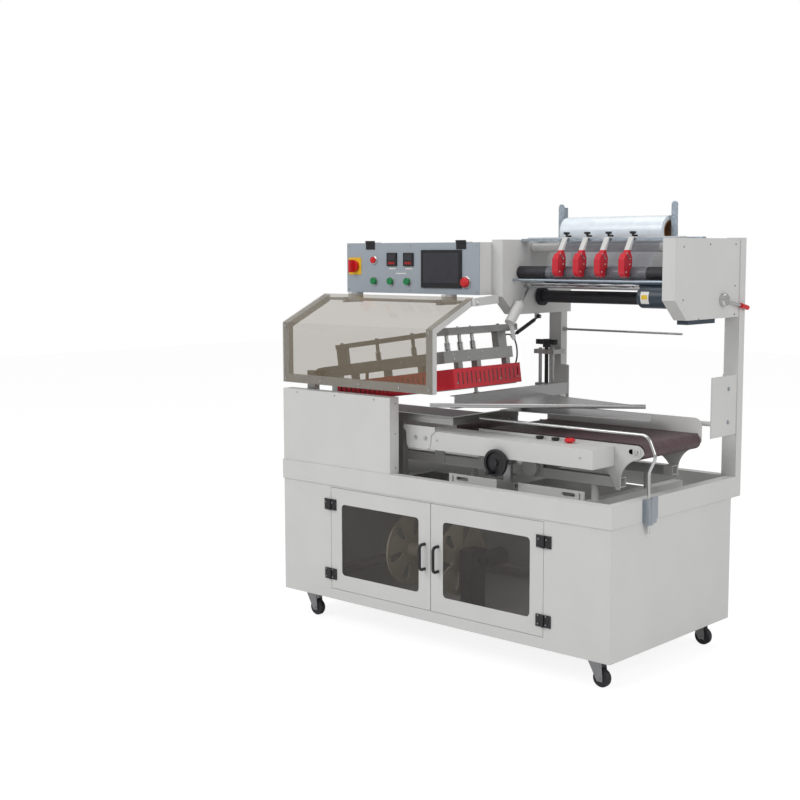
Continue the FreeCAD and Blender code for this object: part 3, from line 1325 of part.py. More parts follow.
def dancer():
    """The swinging film bar: pivot shaft, two arms with a thin bar, and the weighted lever at the left."""
    shaft = cylinder((film_x0 - roller_stub_length, dancer_y, dancer_z), X_AXIS, dancer_shaft_radius,
                     film_x1 - film_x0 + 2 * roller_stub_length)
    solids = [shaft]
    lean = math.radians(dancer_arm_angle)
    dy, dz = -dancer_arm * math.cos(lean), dancer_arm * math.sin(lean)
    solids.append(cylinder((film_x0 + 26, dancer_y + dy, dancer_z + dz), X_AXIS, 4, film_x1 - film_x0 - 190))
    for x in (film_x0 + 30, film_x1 - 178):
        solids.append(Part.makeCylinder(5, dancer_arm, V(x, dancer_y, dancer_z), V(0, dy, dz)))
    arm_x = film_x0 + 22
    a = math.radians(weight_angle)
    along = V(0, -math.cos(a), -math.sin(a))
    origin = V(arm_x, dancer_y, dancer_z)
    solids.append(Part.makeCylinder(5, weight_start + 4, origin, along))
    solids.append(Part.makeCylinder(weight_radius, weight_length, origin + along * weight_start, along))
    end = origin + along * (weight_start + weight_length)
    foot = prism([(end.y - 8, end.z + 22), (end.y + 24, end.z - 8), (end.y + 36, end.z - 64),
                  (end.y + 22, end.z - 66)], "x", arm_x - 4, 8)
    solids.append(foot)
    return fused(solids)


def damper():
    """The black damper between the dancer's foot and a pin under the left side box."""
    a = math.radians(weight_angle)
    reach = weight_start + weight_length
    x = film_x0 + 8
    low = V(x, dancer_y - reach * math.cos(a) + 30, dancer_z - reach * math.sin(a) - 56)
    high = V(x, damper_pin_y, box_bottom - damper_pin_drop)
    along = high - low
    length = along.Length
    along.normalize()
    rod = Part.makeCylinder(3.5, length, low, along)
    barrel = Part.makeCylinder(7.5, length * 0.62, low + along * (length * 0.2), along)
    eye = cylinder((film_x0 + 2, high.y, high.z), X_AXIS, 8, 12)
    bore = cylinder((film_x0 + 1, high.y, high.z), X_AXIS, damper_pin_radius + running_clearance, 20)
    return fused([rod, barrel, eye]).cut(bore)


def lever():
    """The roller release lever on the right side box."""
    face = right_box_x + box_width
    stub = lever_stub_radius
    hub = turned([(0, -14), (stub, -14), (stub, seat_gap), (24, seat_gap), (24, 14), (20, 20), (0, 20)],
                 (face, lever_y, lever_z), X_AXIS)
    tip = V(face + 14, lever_y + lever_reach, lever_z - lever_drop)
    start = V(face + 12, lever_y, lever_z)
    along = (tip - start).normalize()
    rod = Part.makeCylinder(4.5, 120, start, along)
    grip = Part.makeCylinder(9, 50, start + along * 118, along)
    return fused([hub, rod, grip])


# ---------- guard hood ----------
def guard_strip(inner, outer):
    """The hood's bent section between two offsets behind its outer face, as (y, z) pairs."""
    slope = math.atan2(guard_hinge_z - guard_shoulder, guard_hinge_y)
    shift = math.tan((math.pi / 2 - slope) / 2)
    lines = [[(d, guard_bottom), (d, guard_shoulder - d * shift),
              (guard_hinge_y, guard_hinge_z - d / math.cos(slope))] for d in (outer, inner)]
    return lines[0] + lines[1][::-1]


def guard_panes():
    section = guard_strip(acrylic, 0)
    return prism(section, "x", 0, guard_length)


def guard_frame():
    """Side strips, cross bars and the hinge tube behind the clear panes."""
    solids = []
    depth = guard_bar * guard_frame_share
    section = guard_strip(acrylic + depth, acrylic)
    for x0 in (0, guard_length - guard_bar):
        solids.append(prism(section, "x", x0, guard_bar))
    side0, side1 = guard_bar, guard_length - guard_bar
    solids.append(box(side0, side1, acrylic, acrylic + depth, guard_bottom, guard_bottom + guard_bar))
    hinge = cylinder((0, guard_hinge_y, guard_hinge_z - guard_hinge_drop), X_AXIS, guard_rod_radius,
                     guard_length + 30)
    return fused(solids + [hinge])


# ---------- control box ----------
def control_box():
    """A shell open to the front, its mounting plate inside, and the brackets of the guard's hinge tube."""
    x0, x1 = control_left_x, control_right_x
    z0, z1 = control_bottom, control_top
    solids = [tray(x0, x1, control_front_y, column_face, z0, z1, "-y")]
    hinge_z = guard_hinge_z - guard_hinge_drop
    bore = cylinder((-5, guard_hinge_y, hinge_z), X_AXIS, guard_rod_radius + running_clearance, guard_length + 60)
    for bx in (control_left_x + 40, control_right_x - 160):
        arm = box(bx, bx + 20, guard_hinge_y - 12, control_front_y + 30, hinge_z - 14, control_bottom)
        arm = arm.cut(box(bx - 1, bx + 21, guard_hinge_y - 30, guard_hinge_y + 20, hinge_z + 7,
                          control_bottom + 1))
        solids.append(arm.cut(bore))
    side = prism([(guard_hinge_y - 12, hinge_z - 14), (guard_hinge_y - 12, hinge_z + 16),
                  (box_front_y, hinge_z + 26), (box_front_y, hinge_z - 6)], "x", guard_length + 4, 14)
    solids.append(side.cut(bore))
    for x in panel_hinge_xs:
        solids.append(box(x - 24, x + 24, panel_hinge_y + 4 + seat_gap, control_front_y + 34,
                          control_top, control_top + 3))
    return group(solids)


panel_hinge_xs = (216.0, 700.0)
panel_hinge_y = control_front_y - control_panel_thickness - 4
panel_hinge_z = control_top + 5
panel_cut = {
    "main_switch": (127.0, 1436.0, 10.0),
    "green_button": (238.0, 1376.0, 11.0),
    "heat_switch_left": (330.0, 1376.0, 11.0),
    "heat_switch_right": (421.0, 1376.0, 11.0),
    "panel_estop": (723.0, 1376.0, 11.0),
}


def control_panel():
    """The hinged front panel, with its stiffening folds and holes for the controls."""
    x0, x1 = control_left_x, control_right_x
    y = control_front_y - control_panel_thickness
    skin = box(x0, x1, y, control_front_y - seat_gap, control_bottom, control_top)
    holes = [cylinder((x, y - 1, z), Y_AXIS, r + running_clearance, 10) for x, z, r in panel_cut.values()]
    return skin.cut(holes)


def panel_instruments():
    """Touch screen, two temperature controllers, indicator lamp and the panel's hinge barrels."""
    y = control_front_y - control_panel_thickness
    solids = [
        box(497, 703, y - 7, y, 1353, 1501),
        box(310, 363, y - 6, y, 1437, 1490),
        box(400, 453, y - 6, y, 1437, 1490),
        box(92, 162, y - 2, y, 1401, 1471).cut(cylinder((127, y - 3, 1436), Y_AXIS, 10.2, 4)),
        cylinder((236, y - 12, 1461), Y_AXIS, 13, 12),
    ]
    for x in panel_hinge_xs:
        solids.append(fused([box(x - 24, x + 24, y - 3, y, control_top - 26, control_top),
                             cylinder((x - 24, panel_hinge_y, panel_hinge_z), X_AXIS, 4, 48),
                             box(x - 24, x + 24, panel_hinge_y - 1, panel_hinge_y + 1, control_top - 4,
                                 panel_hinge_z)]))
    return group(solids)


def main_switch():
    x, z, stem = panel_cut["main_switch"]
    y = control_front_y - control_panel_thickness - 2
    knob = turned([(0, -12), (stem, -12), (stem, seat_gap), (24, seat_gap), (24, 14), (0, 14)], (x, y, z), -Y_AXIS)
    bar = box(x - 6, x + 6, y - 34, y - 12, z - 26, z + 26)
    return fused([knob, bar])


def panel_button(name, cap):
    x, z, stem = panel_cut[name]
    return push_button((x, control_front_y - control_panel_thickness, z), -Y_AXIS, stem, cap, 10, 12)


# ---------- assembly ----------
NODES = {
    "main_frame": main_frame(),
    "cabinet": group([cabinet()] + caster_plates()),
    "front_housing": front_housing(),
    "door_hinges": door_hinges(),
    "jaw_base": jaw_base(),
    "gearmotors": gearmotors(),
    "former_guides": former_guides(),
    "film_housing": film_housing(),
    "film_tie_bars": film_tie_bars(),
    "control_box": control_box(),
    "waste_reel": waste_reel(),
    "jaw_frame": jaw_frame(),
    "jaw_cover": jaw_cover(),
    "push_rod": push_rod(),
    "conveyor_frame": conveyor_frame(),
    "conveyor_belts": conveyor_belts(),
    "nose_roller": nose_roller(),
    "handwheel": handwheel(),
    "bent_rod": bent_rod(),
    "film_former": film_former(),
    "former_handle": former_handle(),
    "rubber_roller": film_roller("rubber_roller", rubber_roller_radius),
    "drive_roller": drive_roller(),
    "steel_roller": film_roller("steel_roller", steel_roller_radius),
    "cradle_roller_front": film_roller("cradle_roller_front", cradle_radius),
    "cradle_roller_back": film_roller("cradle_roller_back", cradle_radius),
    "film_roll": film_roll(),
    "dancer": dancer(),
    "damper": damper(),
    "release_lever": lever(),
    "guard_frame": guard_frame(),
    "guard_panes": guard_panes(),
    "control_panel": control_panel(),
    "panel_instruments": panel_instruments(),
    "main_switch": main_switch(),
    "green_button": panel_button("green_button", 14),
    "heat_switch_left": panel_button("heat_switch_left", 14),
    "heat_switch_right": panel_button("heat_switch_right", 14),
    "panel_estop": mushroom((panel_cut["panel_estop"][0], control_front_y - control_panel_thickness,
                             panel_cut["panel_estop"][1]), -Y_AXIS, 11),
    "conveyor_estop": mushroom((estop_position[0], estop_position[1], cover_top_z), Z_AXIS, estop_stem),
}
for side, index in (("left", 0), ("right", 1)):
    NODES["door_" + side] = door(index)
    NODES["door_window_" + side] = door_window(index)
    NODES["door_fittings_" + side] = door_fittings(index)
for k, (x, y) in enumerate(jog_positions):
    NODES["jog_button_%d" % (k + 1)] = push_button((x, y, cover_top_z), Z_AXIS, jog_stem, 15, 7, 14)
for k, x in enumerate(perforator_x):
    NODES["perforator_%d" % (k + 1)] = perforator(x)
for name, point in zip(("front_left", "front_right", "rear_left", "rear_right"), caster_points):
    NODES["caster_fork_" + name] = caster_fork(point)
    NODES["caster_wheel_" + name] = caster_wheel(point)

# The origin is under the middle of the whole machine, on the floor.
whole = Part.makeCompound(list(NODES.values())).BoundBox
origin_shift = V(-(whole.XMin + whole.XMax) / 2, -(whole.YMin + whole.YMax) / 2, 0)

os.makedirs("parts", exist_ok=True)
for name, shape in NODES.items():
    shape.translate(origin_shift)
    shape.exportStep("parts/%s.step" % name)
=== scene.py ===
import math

import bmesh
import bpy
from mathutils import Euler, Matrix, Vector

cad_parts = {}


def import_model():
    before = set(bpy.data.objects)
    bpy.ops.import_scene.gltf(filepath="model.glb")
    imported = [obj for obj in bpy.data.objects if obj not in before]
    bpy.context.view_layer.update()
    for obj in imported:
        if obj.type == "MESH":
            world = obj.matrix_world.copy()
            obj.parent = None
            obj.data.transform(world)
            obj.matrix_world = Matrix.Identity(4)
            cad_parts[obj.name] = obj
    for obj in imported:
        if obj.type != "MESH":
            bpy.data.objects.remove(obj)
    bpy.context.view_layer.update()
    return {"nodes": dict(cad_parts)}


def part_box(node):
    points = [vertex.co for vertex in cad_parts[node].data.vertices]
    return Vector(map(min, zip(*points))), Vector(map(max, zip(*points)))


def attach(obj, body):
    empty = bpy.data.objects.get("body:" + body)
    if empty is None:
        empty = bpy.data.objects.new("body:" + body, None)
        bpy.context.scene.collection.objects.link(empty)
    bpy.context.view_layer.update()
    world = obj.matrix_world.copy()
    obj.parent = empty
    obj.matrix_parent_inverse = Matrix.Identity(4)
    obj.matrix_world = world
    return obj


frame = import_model()

MM = 0.001
X, Y, Z = Vector((1, 0, 0)), Vector((0, 1, 0)), Vector((0, 0, 1))
nodes = frame["nodes"]
corner = Vector((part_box("cabinet")[0][0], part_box("cabinet")[0][1], 0.0))


def at(x, y, z):
    """A place in millimetres from the cabinet's front left corner on the floor."""
    return corner + Vector((x, y, z)) * MM


def span(node):
    """The low and high corner of a node in millimetres from the same corner."""
    lo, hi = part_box(node)
    return (Vector(lo) - corner) / MM, (Vector(hi) - corner) / MM


# ---------- materials ----------
def shader(name, color, rough, metallic=0.0, **sockets):
    """A Principled material with its colour, roughness, metalness and any other given sockets set."""
    m = bpy.data.materials.new(name)
    m.use_nodes = True
    b = m.node_tree.nodes["Principled BSDF"]
    b.inputs["Base Color"].default_value = (*color, 1)
    b.inputs["Roughness"].default_value = rough
    b.inputs["Metallic"].default_value = metallic
    for key, value in sockets.items():
        b.inputs[key.replace("_", " ")].default_value = value
    return m


def add(m, kind, **values):
    n = m.node_tree.nodes.new(kind)
    for key, value in values.items():
        setattr(n, key, value)
    return n


def link(m, a, b):
    m.node_tree.links.new(a, b)


def place(m, stretch=(1, 1, 1)):
    """Object coordinates, stretched so that noise can run along a grain."""
    coords = add(m, "ShaderNodeTexCoord")
    mapping = add(m, "ShaderNodeMapping")
    mapping.inputs["Scale"].default_value = stretch
    link(m, coords.outputs["Object"], mapping.inputs["Vector"])
    return mapping.outputs["Vector"]


def noise(m, scale, detail=3.0, stretch=(1, 1, 1)):
    n = add(m, "ShaderNodeTexNoise")
    n.inputs["Scale"].default_value = scale
    n.inputs["Detail"].default_value = detail
    link(m, place(m, stretch), n.inputs["Vector"])
    return n.outputs["Fac"]


def ramp(m, value, stops):
    r = add(m, "ShaderNodeValToRGB")
    e = r.color_ramp.elements
    while len(e) < len(stops):
        e.new(0.5)
    for element, (position, color) in zip(e, stops):
        element.position = position
        element.color = (*color, 1)
    link(m, value, r.inputs["Fac"])
    return r.outputs["Color"]


def spread(m, value, low, high):
    """value from 0 to 1 turned into low to high."""
    r = add(m, "ShaderNodeMapRange")
    r.inputs["From Min"].default_value = 0.3
    r.inputs["From Max"].default_value = 0.7
    r.inputs["To Min"].default_value = low
    r.inputs["To Max"].default_value = high
    link(m, value, r.inputs["Value"])
    return r.outputs["Result"]


def surface(m, fine, rough, bump=0.05, depth=0.0004, edge=0.0012):
    """Roughness between the two rough values and a small bump from the fine noise, over rounded edges."""
    b = m.node_tree.nodes["Principled BSDF"]
    link(m, spread(m, fine, *rough), b.inputs["Roughness"])
    n = add(m, "ShaderNodeBump")
    n.inputs["Strength"].default_value = bump
    n.inputs["Distance"].default_value = depth
    link(m, fine, n.inputs["Height"])
    if edge:
        soft = add(m, "ShaderNodeBevel", samples=3)
        soft.inputs["Radius"].default_value = edge
        link(m, soft.outputs["Normal"], n.inputs["Normal"])
    link(m, n.outputs["Normal"], b.inputs["Normal"])


def tint(m, value, dark, light):
    link(m, ramp(m, value, [(0.25, dark), (0.75, light)]), m.node_tree.nodes["Principled BSDF"].inputs["Base Color"])


def scaled(color, k):
    return tuple(min(1.0, c * k) for c in color)


def painted(name, color, rough=0.38, edge=0.0012):
    """Powder coat: an even colour with faint cloudy shifts and orange peel."""
    m = shader(name, color, rough)
    tint(m, noise(m, 5.0, 4.0), scaled(color, 0.965), scaled(color, 1.02))
    surface(m, noise(m, 900.0, 2.0), (rough - 0.05, rough + 0.08), 0.12, 0.0003, edge)
    return m


def brushed(name, color, along, rough=0.34, metallic=0.9):
    """Drawn or brushed metal with its grain along one axis."""
    stretch = [70.0, 70.0, 70.0]
    stretch["xyz".index(along)] = 1.5
    m = shader(name, color, rough, metallic)
    grain = noise(m, 12.0, 6.0, stretch)
    tint(m, grain, scaled(color, 0.82), scaled(color, 1.12))
    surface(m, grain, (rough - 0.08, rough + 0.12), 0.08, 0.0002, 0.0008)
    return m


def galvanised(name, color):
    m = shader(name, color, 0.4, 0.85)
    spangle = add(m, "ShaderNodeTexVoronoi")
    spangle.inputs["Scale"].default_value = 160.0
    link(m, place(m), spangle.inputs["Vector"])
    tint(m, spangle.outputs["Distance"], scaled(color, 0.85), scaled(color, 1.15))
    surface(m, spangle.outputs["Distance"], (0.3, 0.5), 0.05, 0.0002, 0.0008)
    return m


def moulded(name, color, rough=0.42):
    """Moulded plastic with a fine spark texture."""
    m = shader(name, color, rough)
    fine = noise(m, 1500.0, 2.0)
    tint(m, noise(m, 30.0), scaled(color, 0.93), scaled(color, 1.06))
    surface(m, fine, (rough - 0.06, rough + 0.1), 0.15, 0.0002, 0.0008)
    return m


def rubbery(name, color, rough=0.62):
    m = shader(name, color, rough)
    tint(m, noise(m, 45.0, 5.0), scaled(color, 0.7), scaled(color, 1.35))
    surface(m, noise(m, 500.0, 4.0), (rough - 0.12, rough + 0.12), 0.25, 0.0004, 0.001)
    return m


def clear(name, color, through, rough=0.06, streak=0.12):
    """Tinted clear sheet: part see-through, part gloss, with faint scuffs."""
    m = shader(name, color, rough, 0.0, Alpha=through)
    b = m.node_tree.nodes["Principled BSDF"]
    scuff = noise(m, 14.0, 8.0, (1, 1, 3))
    tint(m, scuff, scaled(color, 0.94), scaled(color, 1.05))
    link(m, spread(m, scuff, rough, rough + streak), b.inputs["Roughness"])
    return m


def masked(m, lo, hi):
    """1 inside the box between two places, 0 outside it."""
    middle, half = (lo + hi) / 2, (hi - lo) / 2
    coords = add(m, "ShaderNodeTexCoord")
    shift = add(m, "ShaderNodeVectorMath", operation="SUBTRACT")
    shift.inputs[1].default_value = middle
    size = add(m, "ShaderNodeVectorMath", operation="ABSOLUTE")
    unit = add(m, "ShaderNodeVectorMath", operation="DIVIDE")
    unit.inputs[1].default_value = half
    parts = add(m, "ShaderNodeSeparateXYZ")
    first = add(m, "ShaderNodeMath", operation="MAXIMUM")
    second = add(m, "ShaderNodeMath", operation="MAXIMUM")
    inside = add(m, "ShaderNodeMath", operation="LESS_THAN")
    inside.inputs[1].default_value = 1.0
    link(m, coords.outputs["Object"], shift.inputs[0])
    link(m, shift.outputs[0], size.inputs[0])
    link(m, size.outputs[0], unit.inputs[0])
    link(m, unit.outputs[0], parts.inputs[0])
    link(m, parts.outputs["X"], first.inputs[0])
    link(m, parts.outputs["Y"], first.inputs[1])
    link(m, first.outputs[0], second.inputs[0])
    link(m, parts.outputs["Z"], second.inputs[1])
    link(m, second.outputs[0], inside.inputs[0])
    return inside.outputs[0]


def zoned(m, zones):
    """Another colour, metalness and roughness inside each zone: (low corner, high corner, colour, metal, rough)."""
    b = m.node_tree.nodes["Principled BSDF"]
    for lo, hi, color, metal, rough in zones:
        mask = masked(m, lo, hi)
        base = b.inputs["Base Color"]
        mix = add(m, "ShaderNodeMix", data_type="RGBA")
        link(m, mask, mix.inputs["Factor"])
        link(m, base.links[0].from_socket, mix.inputs["A"])
        mix.inputs["B"].default_value = (*color, 1)
        link(m, mix.outputs["Result"], base)
        for socket, value in (("Metallic", metal), ("Roughness", rough)):
            target = b.inputs[socket]
            blend = add(m, "ShaderNodeMix", data_type="FLOAT")
            link(m, mask, blend.inputs["Factor"])
            if target.links:
                link(m, target.links[0].from_socket, blend.inputs["A"])
            else:
                blend.inputs["A"].default_value = target.default_value
            blend.inputs["B"].default_value = value
            link(m, blend.outputs["Result"], target)
    return m


WHITE = (0.62, 0.62, 0.61)
STEEL = (0.50, 0.50, 0.50)
ALUMINIUM = (0.46, 0.46, 0.45)
BLACK = (0.012, 0.012, 0.014)
RED = (0.56, 0.02, 0.035)
PANEL_GREY = (0.345, 0.385, 0.43)
YELLOW = (0.80, 0.50, 0.02)
LAMP_RED = (0.60, 0.012, 0.02)
MOTOR_AXIS = (450.0, 1330.0)
MOTOR_RADIUS = 40.0

mat = {
    "white": painted("white powder coat", WHITE),
    "white_satin": painted("white paint on castings", scaled(WHITE, 1.03), 0.3),
    "panel": painted("grey blue panel", PANEL_GREY, 0.32, 0.0006),
    "red_paint": painted("red cover", RED, 0.24),
    "beam": brushed("aluminium beams", ALUMINIUM, "x"),
    "zinc": galvanised("zinc plated parts", (0.42, 0.46, 0.50)),
    "steel": brushed("stainless steel", STEEL, "x", 0.28),
    "bright": brushed("bright steel", (0.62, 0.62, 0.62), "z", 0.16, 1.0),
    "belt": rubbery("belt", (0.085, 0.05, 0.055), 0.5),
    "rubber": rubbery("black rubber", (0.016, 0.015, 0.019), 0.55),
    "black": moulded("black plastic", BLACK, 0.4),
    "motor": painted("dark motor paint", (0.025, 0.04, 0.06), 0.35),
    "turn_roller": brushed("blue steel roller", (0.13, 0.18, 0.24), "x", 0.3, 0.8),
    "acrylic": clear("brown tinted acrylic", (0.20, 0.155, 0.09), 0.34, 0.015, 0.03),
    "window": clear("grey tinted window", (0.085, 0.075, 0.066), 0.26, 0.02, 0.04),
    "cream": moulded("cream discs", (0.52, 0.46, 0.36), 0.45),
    "film": moulded("wound film", (0.72, 0.76, 0.80), 0.18),
    "card": moulded("cardboard", (0.30, 0.17, 0.09), 0.8),
    "red": moulded("red plastic", (0.60, 0.015, 0.02), 0.25),
    "green": moulded("green plastic", (0.01, 0.22, 0.07), 0.25),
    "yellow": moulded("yellow plastic", (0.75, 0.48, 0.02), 0.3),
    "screen": moulded("dark screen", (0.035, 0.035, 0.045), 0.12),
    "label": moulded("blank label", (0.70, 0.70, 0.68), 0.5),
    "blue": moulded("blue ticks", (0.03, 0.16, 0.42), 0.4),
    "caster": brushed("caster steel", (0.30, 0.30, 0.31), "z", 0.4, 0.8),
    "hose": moulded("black hose", (0.01, 0.01, 0.011), 0.3),
    "clear_film": clear("clear film", (0.33, 0.34, 0.39), 0.45, 0.08, 0.22),
}


def dress(node, name):
    """The node's material slots all take one material."""
    data = nodes[node].data
    if not data.materials:
        data.materials.append(mat[name])
    for k in range(len(data.materials)):
        data.materials[k] = mat[name]


DRESS = {
    "white": ["cabinet", "front_housing", "film_housing", "control_box", "door_left", "door_right",
              "guard_frame"],
    "red_paint": ["jaw_cover"],
    "panel": ["control_panel"],
    "beam": ["jaw_base"],
    "steel": ["film_former"],
    "bright": ["push_rod", "bent_rod"],
    "belt": ["conveyor_belts"],
    "rubber": ["nose_roller", "rubber_roller", "drive_roller"],
    "black": ["door_hinges", "handwheel", "former_handle", "damper"],
    "turn_roller": ["steel_roller"],
    "motor": ["gearmotors"],
    "white_satin": ["cradle_roller_front", "cradle_roller_back"],
    "acrylic": ["guard_panes"],
    "cream": ["waste_reel"],
    "green": ["green_button", "heat_switch_left", "heat_switch_right"],
    "red": ["main_switch", "panel_estop", "conveyor_estop"],
}
for name in nodes:
    if name.startswith("door_window"):
        DRESS.setdefault("window", []).append(name)
    if name.startswith("door_fittings") or name.startswith("jog_button"):
        DRESS["black"].append(name)
    if name.startswith("caster_fork"):
        DRESS.setdefault("caster", []).append(name)
    if name.startswith("caster_wheel"):
        DRESS["rubber"].append(name)
for name, members in DRESS.items():
    for node in members:
        dress(node, name)


def variant(node, base, maker, zones):
    """A material of the node's own: the maker's finish with zones in other finishes."""
    mat[node] = zoned(maker, zones)
    dress(node, node)


def zone(x0, x1, y0, y1, z0, z1, color, metal, rough):
    return (at(x0, y0, z0), at(x1, y1, z1), color, metal, rough)


def frame_zones():
    far = span("main_frame")[1]
    clamp_lo = span("bent_rod")[0]
    return [
        zone(far.x - 24, far.x + 40, 180, 282, 550, 656, (0.42, 0.46, 0.50), 0.85, 0.4),
        zone(1000, 1100, 138, 180, 612, 760, STEEL, 0.9, 0.35),
        zone(780, 820, 236, 272, 611, 668, STEEL, 0.9, 0.3),
    ]


def conveyor_zones():
    lo, hi = span("conveyor_frame")
    belt_lo, belt_hi = span("conveyor_belts")
    return [
        zone(lo.x - 1, 760, belt_lo.y - 4.1, belt_hi.y + 4.1, belt_lo.z, belt_hi.z, BLACK, 0.0, 0.5),
        zone(855, 1560, belt_lo.y - 4.1, belt_hi.y + 4.1, belt_lo.z, belt_hi.z, BLACK, 0.0, 0.5),
        zone(700, 1440, belt_lo.y, belt_hi.y, lo.z - 5, belt_lo.z - 65, STEEL, 0.9, 0.3),
    ]


def dancer_zones():
    lo, hi = span("dancer")
    return [zone(lo.x + 21, lo.x + 75, lo.y - 40, lo.y + 90, lo.z - 10, lo.z + 152, WHITE, 0.0, 0.35)]


def instrument_zones():
    """A yellow plate round the main switch and a red lamp."""
    lo, hi = span("main_switch")
    return [
        zone(lo.x - 20, hi.x + 20, hi.y - 60, hi.y + 4, lo.z - 20, hi.z + 20, YELLOW, 0.0, 0.3),
        zone(215, 260, hi.y - 60, hi.y + 4, 1440, 1482, LAMP_RED, 0.0, 0.2),
    ]


def guide_zones():
    """The white rail that the steel columns stand on."""
    lo, hi = span("former_guides")
    return [zone(lo.x - 5, hi.x + 5, lo.y - 5, hi.y + 5, lo.z - 5, 945, WHITE, 0.0, 0.35)]


def lever_zones():
    """The red grip at the lever's far end."""
    lo, hi = span("release_lever")
    return [zone(lo.x - 5, hi.x + 5, hi.y - 54, hi.y + 5, lo.z - 5, hi.z, LAMP_RED, 0.0, 0.35)]


variant("main_frame", "white", painted("white frame", WHITE), frame_zones())
variant("conveyor_frame", "white", painted("white conveyor", WHITE), conveyor_zones())
variant("jaw_frame", "beam", brushed("jaw aluminium", ALUMINIUM, "x"), [])
variant("former_guides", "steel", brushed("guide steel", STEEL, "z", 0.28), guide_zones())
variant("panel_instruments", "black", moulded("panel parts", BLACK, 0.25), instrument_zones())
variant("release_lever", "bright", brushed("lever steel", (0.62, 0.62, 0.62), "y", 0.18, 1.0), lever_zones())
variant("film_tie_bars", "zinc", galvanised("zinc bars", (0.36, 0.42, 0.48)), [])
variant("dancer", "bright", brushed("dancer steel", (0.55, 0.55, 0.56), "x", 0.2, 1.0), dancer_zones())


def perforator_material():
    """White arm, red wheel guard and black knob on one piece."""
    lo, hi = span("perforator_1")
    m = painted("perforator", WHITE, 0.3)
    wide = 2000.0
    guard_top = lo.z + 100
    return zoned(m, [
        zone(0, wide, lo.y - 5, hi.y + 5, lo.z - 5, guard_top, RED, 0.0, 0.25),
        zone(0, wide, lo.y - 5, hi.y + 5, hi.z - 19.5, hi.z + 5, BLACK, 0.0, 0.4),
    ])


mat["perforator"] = perforator_material()
for name in nodes:
    if name.startswith("perforator"):
        dress(name, "perforator")


def roll_material():
    """Clear wound film outside, with a cardboard core inside the radius of the film."""
    lo, hi = span("film_roll")
    m = moulded("film roll", (0.74, 0.80, 0.85), 0.15)
    b = m.node_tree.nodes["Principled BSDF"]
    axis_y, axis_z = (lo.y + hi.y) / 2, (lo.z + hi.z) / 2
    centre = at(0, axis_y, axis_z)
    coords = add(m, "ShaderNodeTexCoord")
    shift = add(m, "ShaderNodeVectorMath", operation="SUBTRACT")
    shift.inputs[1].default_value = centre
    flat = add(m, "ShaderNodeVectorMath", operation="MULTIPLY")
    flat.inputs[1].default_value = (0, 1, 1)
    reach = add(m, "ShaderNodeVectorMath", operation="LENGTH")
    link(m, coords.outputs["Object"], shift.inputs[0])
    link(m, shift.outputs[0], flat.inputs[0])
    link(m, flat.outputs[0], reach.inputs[0])
    inside = add(m, "ShaderNodeMath", operation="LESS_THAN")
    inside.inputs[1].default_value = 0.0425
    link(m, reach.outputs["Value"], inside.inputs[0])
    base = b.inputs["Base Color"]
    mix = add(m, "ShaderNodeMix", data_type="RGBA")
    link(m, inside.outputs[0], mix.inputs["Factor"])
    link(m, base.links[0].from_socket, mix.inputs["A"])
    mix.inputs["B"].default_value = (0.30, 0.17, 0.09, 1)
    link(m, mix.outputs["Result"], base)
    return m


mat["film_roll"] = roll_material()
dress("film_roll", "film_roll")


# ---------- building helpers ----------
def piece(name, mesh_maker, material, body):
    """A mesh built by mesh_maker(bm), finished, named, given its material and set to ride on its body."""
    bm = bmesh.new()
    mesh_maker(bm)
    bmesh.ops.recalc_face_normals(bm, faces=bm.faces)
    data = bpy.data.meshes.new(name)
    bm.to_mesh(data)
    bm.free()
    obj = bpy.data.objects.new(name, data)
    bpy.context.scene.collection.objects.link(obj)
    data.materials.append(mat[material])
    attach(obj, body)
    return obj


def frame_of(normal):
    """A rotation that carries +Z to the normal."""
    return Z.rotation_difference(Vector(normal)).to_matrix().to_4x4()


def lathe(bm, profile, base, normal, segments=20, cap=True):
    """Turns (radius, height) pairs in millimetres about the normal through base."""
    turn = Matrix.Translation(base) @ frame_of(normal)
    rings = []
    for r, h in profile:
        rings.append([bm.verts.new(turn @ Vector((r * MM * math.cos(a), r * MM * math.sin(a), h * MM)))
                      for a in (2 * math.pi * k / segments for k in range(segments))])
    for low, high in zip(rings, rings[1:]):
        for k in range(segments):
            n = (k + 1) % segments
            bm.faces.new((low[k], low[n], high[n], high[k]))
    if cap:
        bm.faces.new(rings[-1])
        bm.faces.new(rings[0][::-1])


def block(bm, lo, hi, round_by=0.8):
    """A box between two places with its edges rounded by some millimetres."""
    made = bmesh.ops.create_cube(bm, size=1.0)["verts"]
    middle, size = (lo + hi) / 2, hi - lo
    for v in made:
        v.co = Vector(v.co[k] * size[k] + middle[k] for k in range(3))
    if round_by:
        edges = {e for v in made for e in v.link_edges}
        bmesh.ops.bevel(bm, geom=list(edges), offset=round_by * MM, segments=2, affect="EDGES")


def pill(bm, points, radius, segments=10):
    """A round bar through the points, in places, with square ends."""
    rings = []
    last = None
    for k, p in enumerate(points):
        before = points[max(k - 1, 0)]
        after = points[min(k + 1, len(points) - 1)]
        turn = frame_of((after - before).normalized())
        if last is not None:
            turn = last.rotation_difference((after - before).normalized()).to_matrix().to_4x4() @ keep
        keep, last = turn, (after - before).normalized()
        rings.append([bm.verts.new(p + turn @ Vector((radius * MM * math.cos(a), radius * MM * math.sin(a), 0)))
                      for a in (2 * math.pi * i / segments for i in range(segments))])
    for low, high in zip(rings, rings[1:]):
        for i in range(segments):
            n = (i + 1) % segments
            bm.faces.new((low[i], low[n], high[n], high[i]))
    bm.faces.new(rings[0][::-1])
    bm.faces.new(rings[-1])


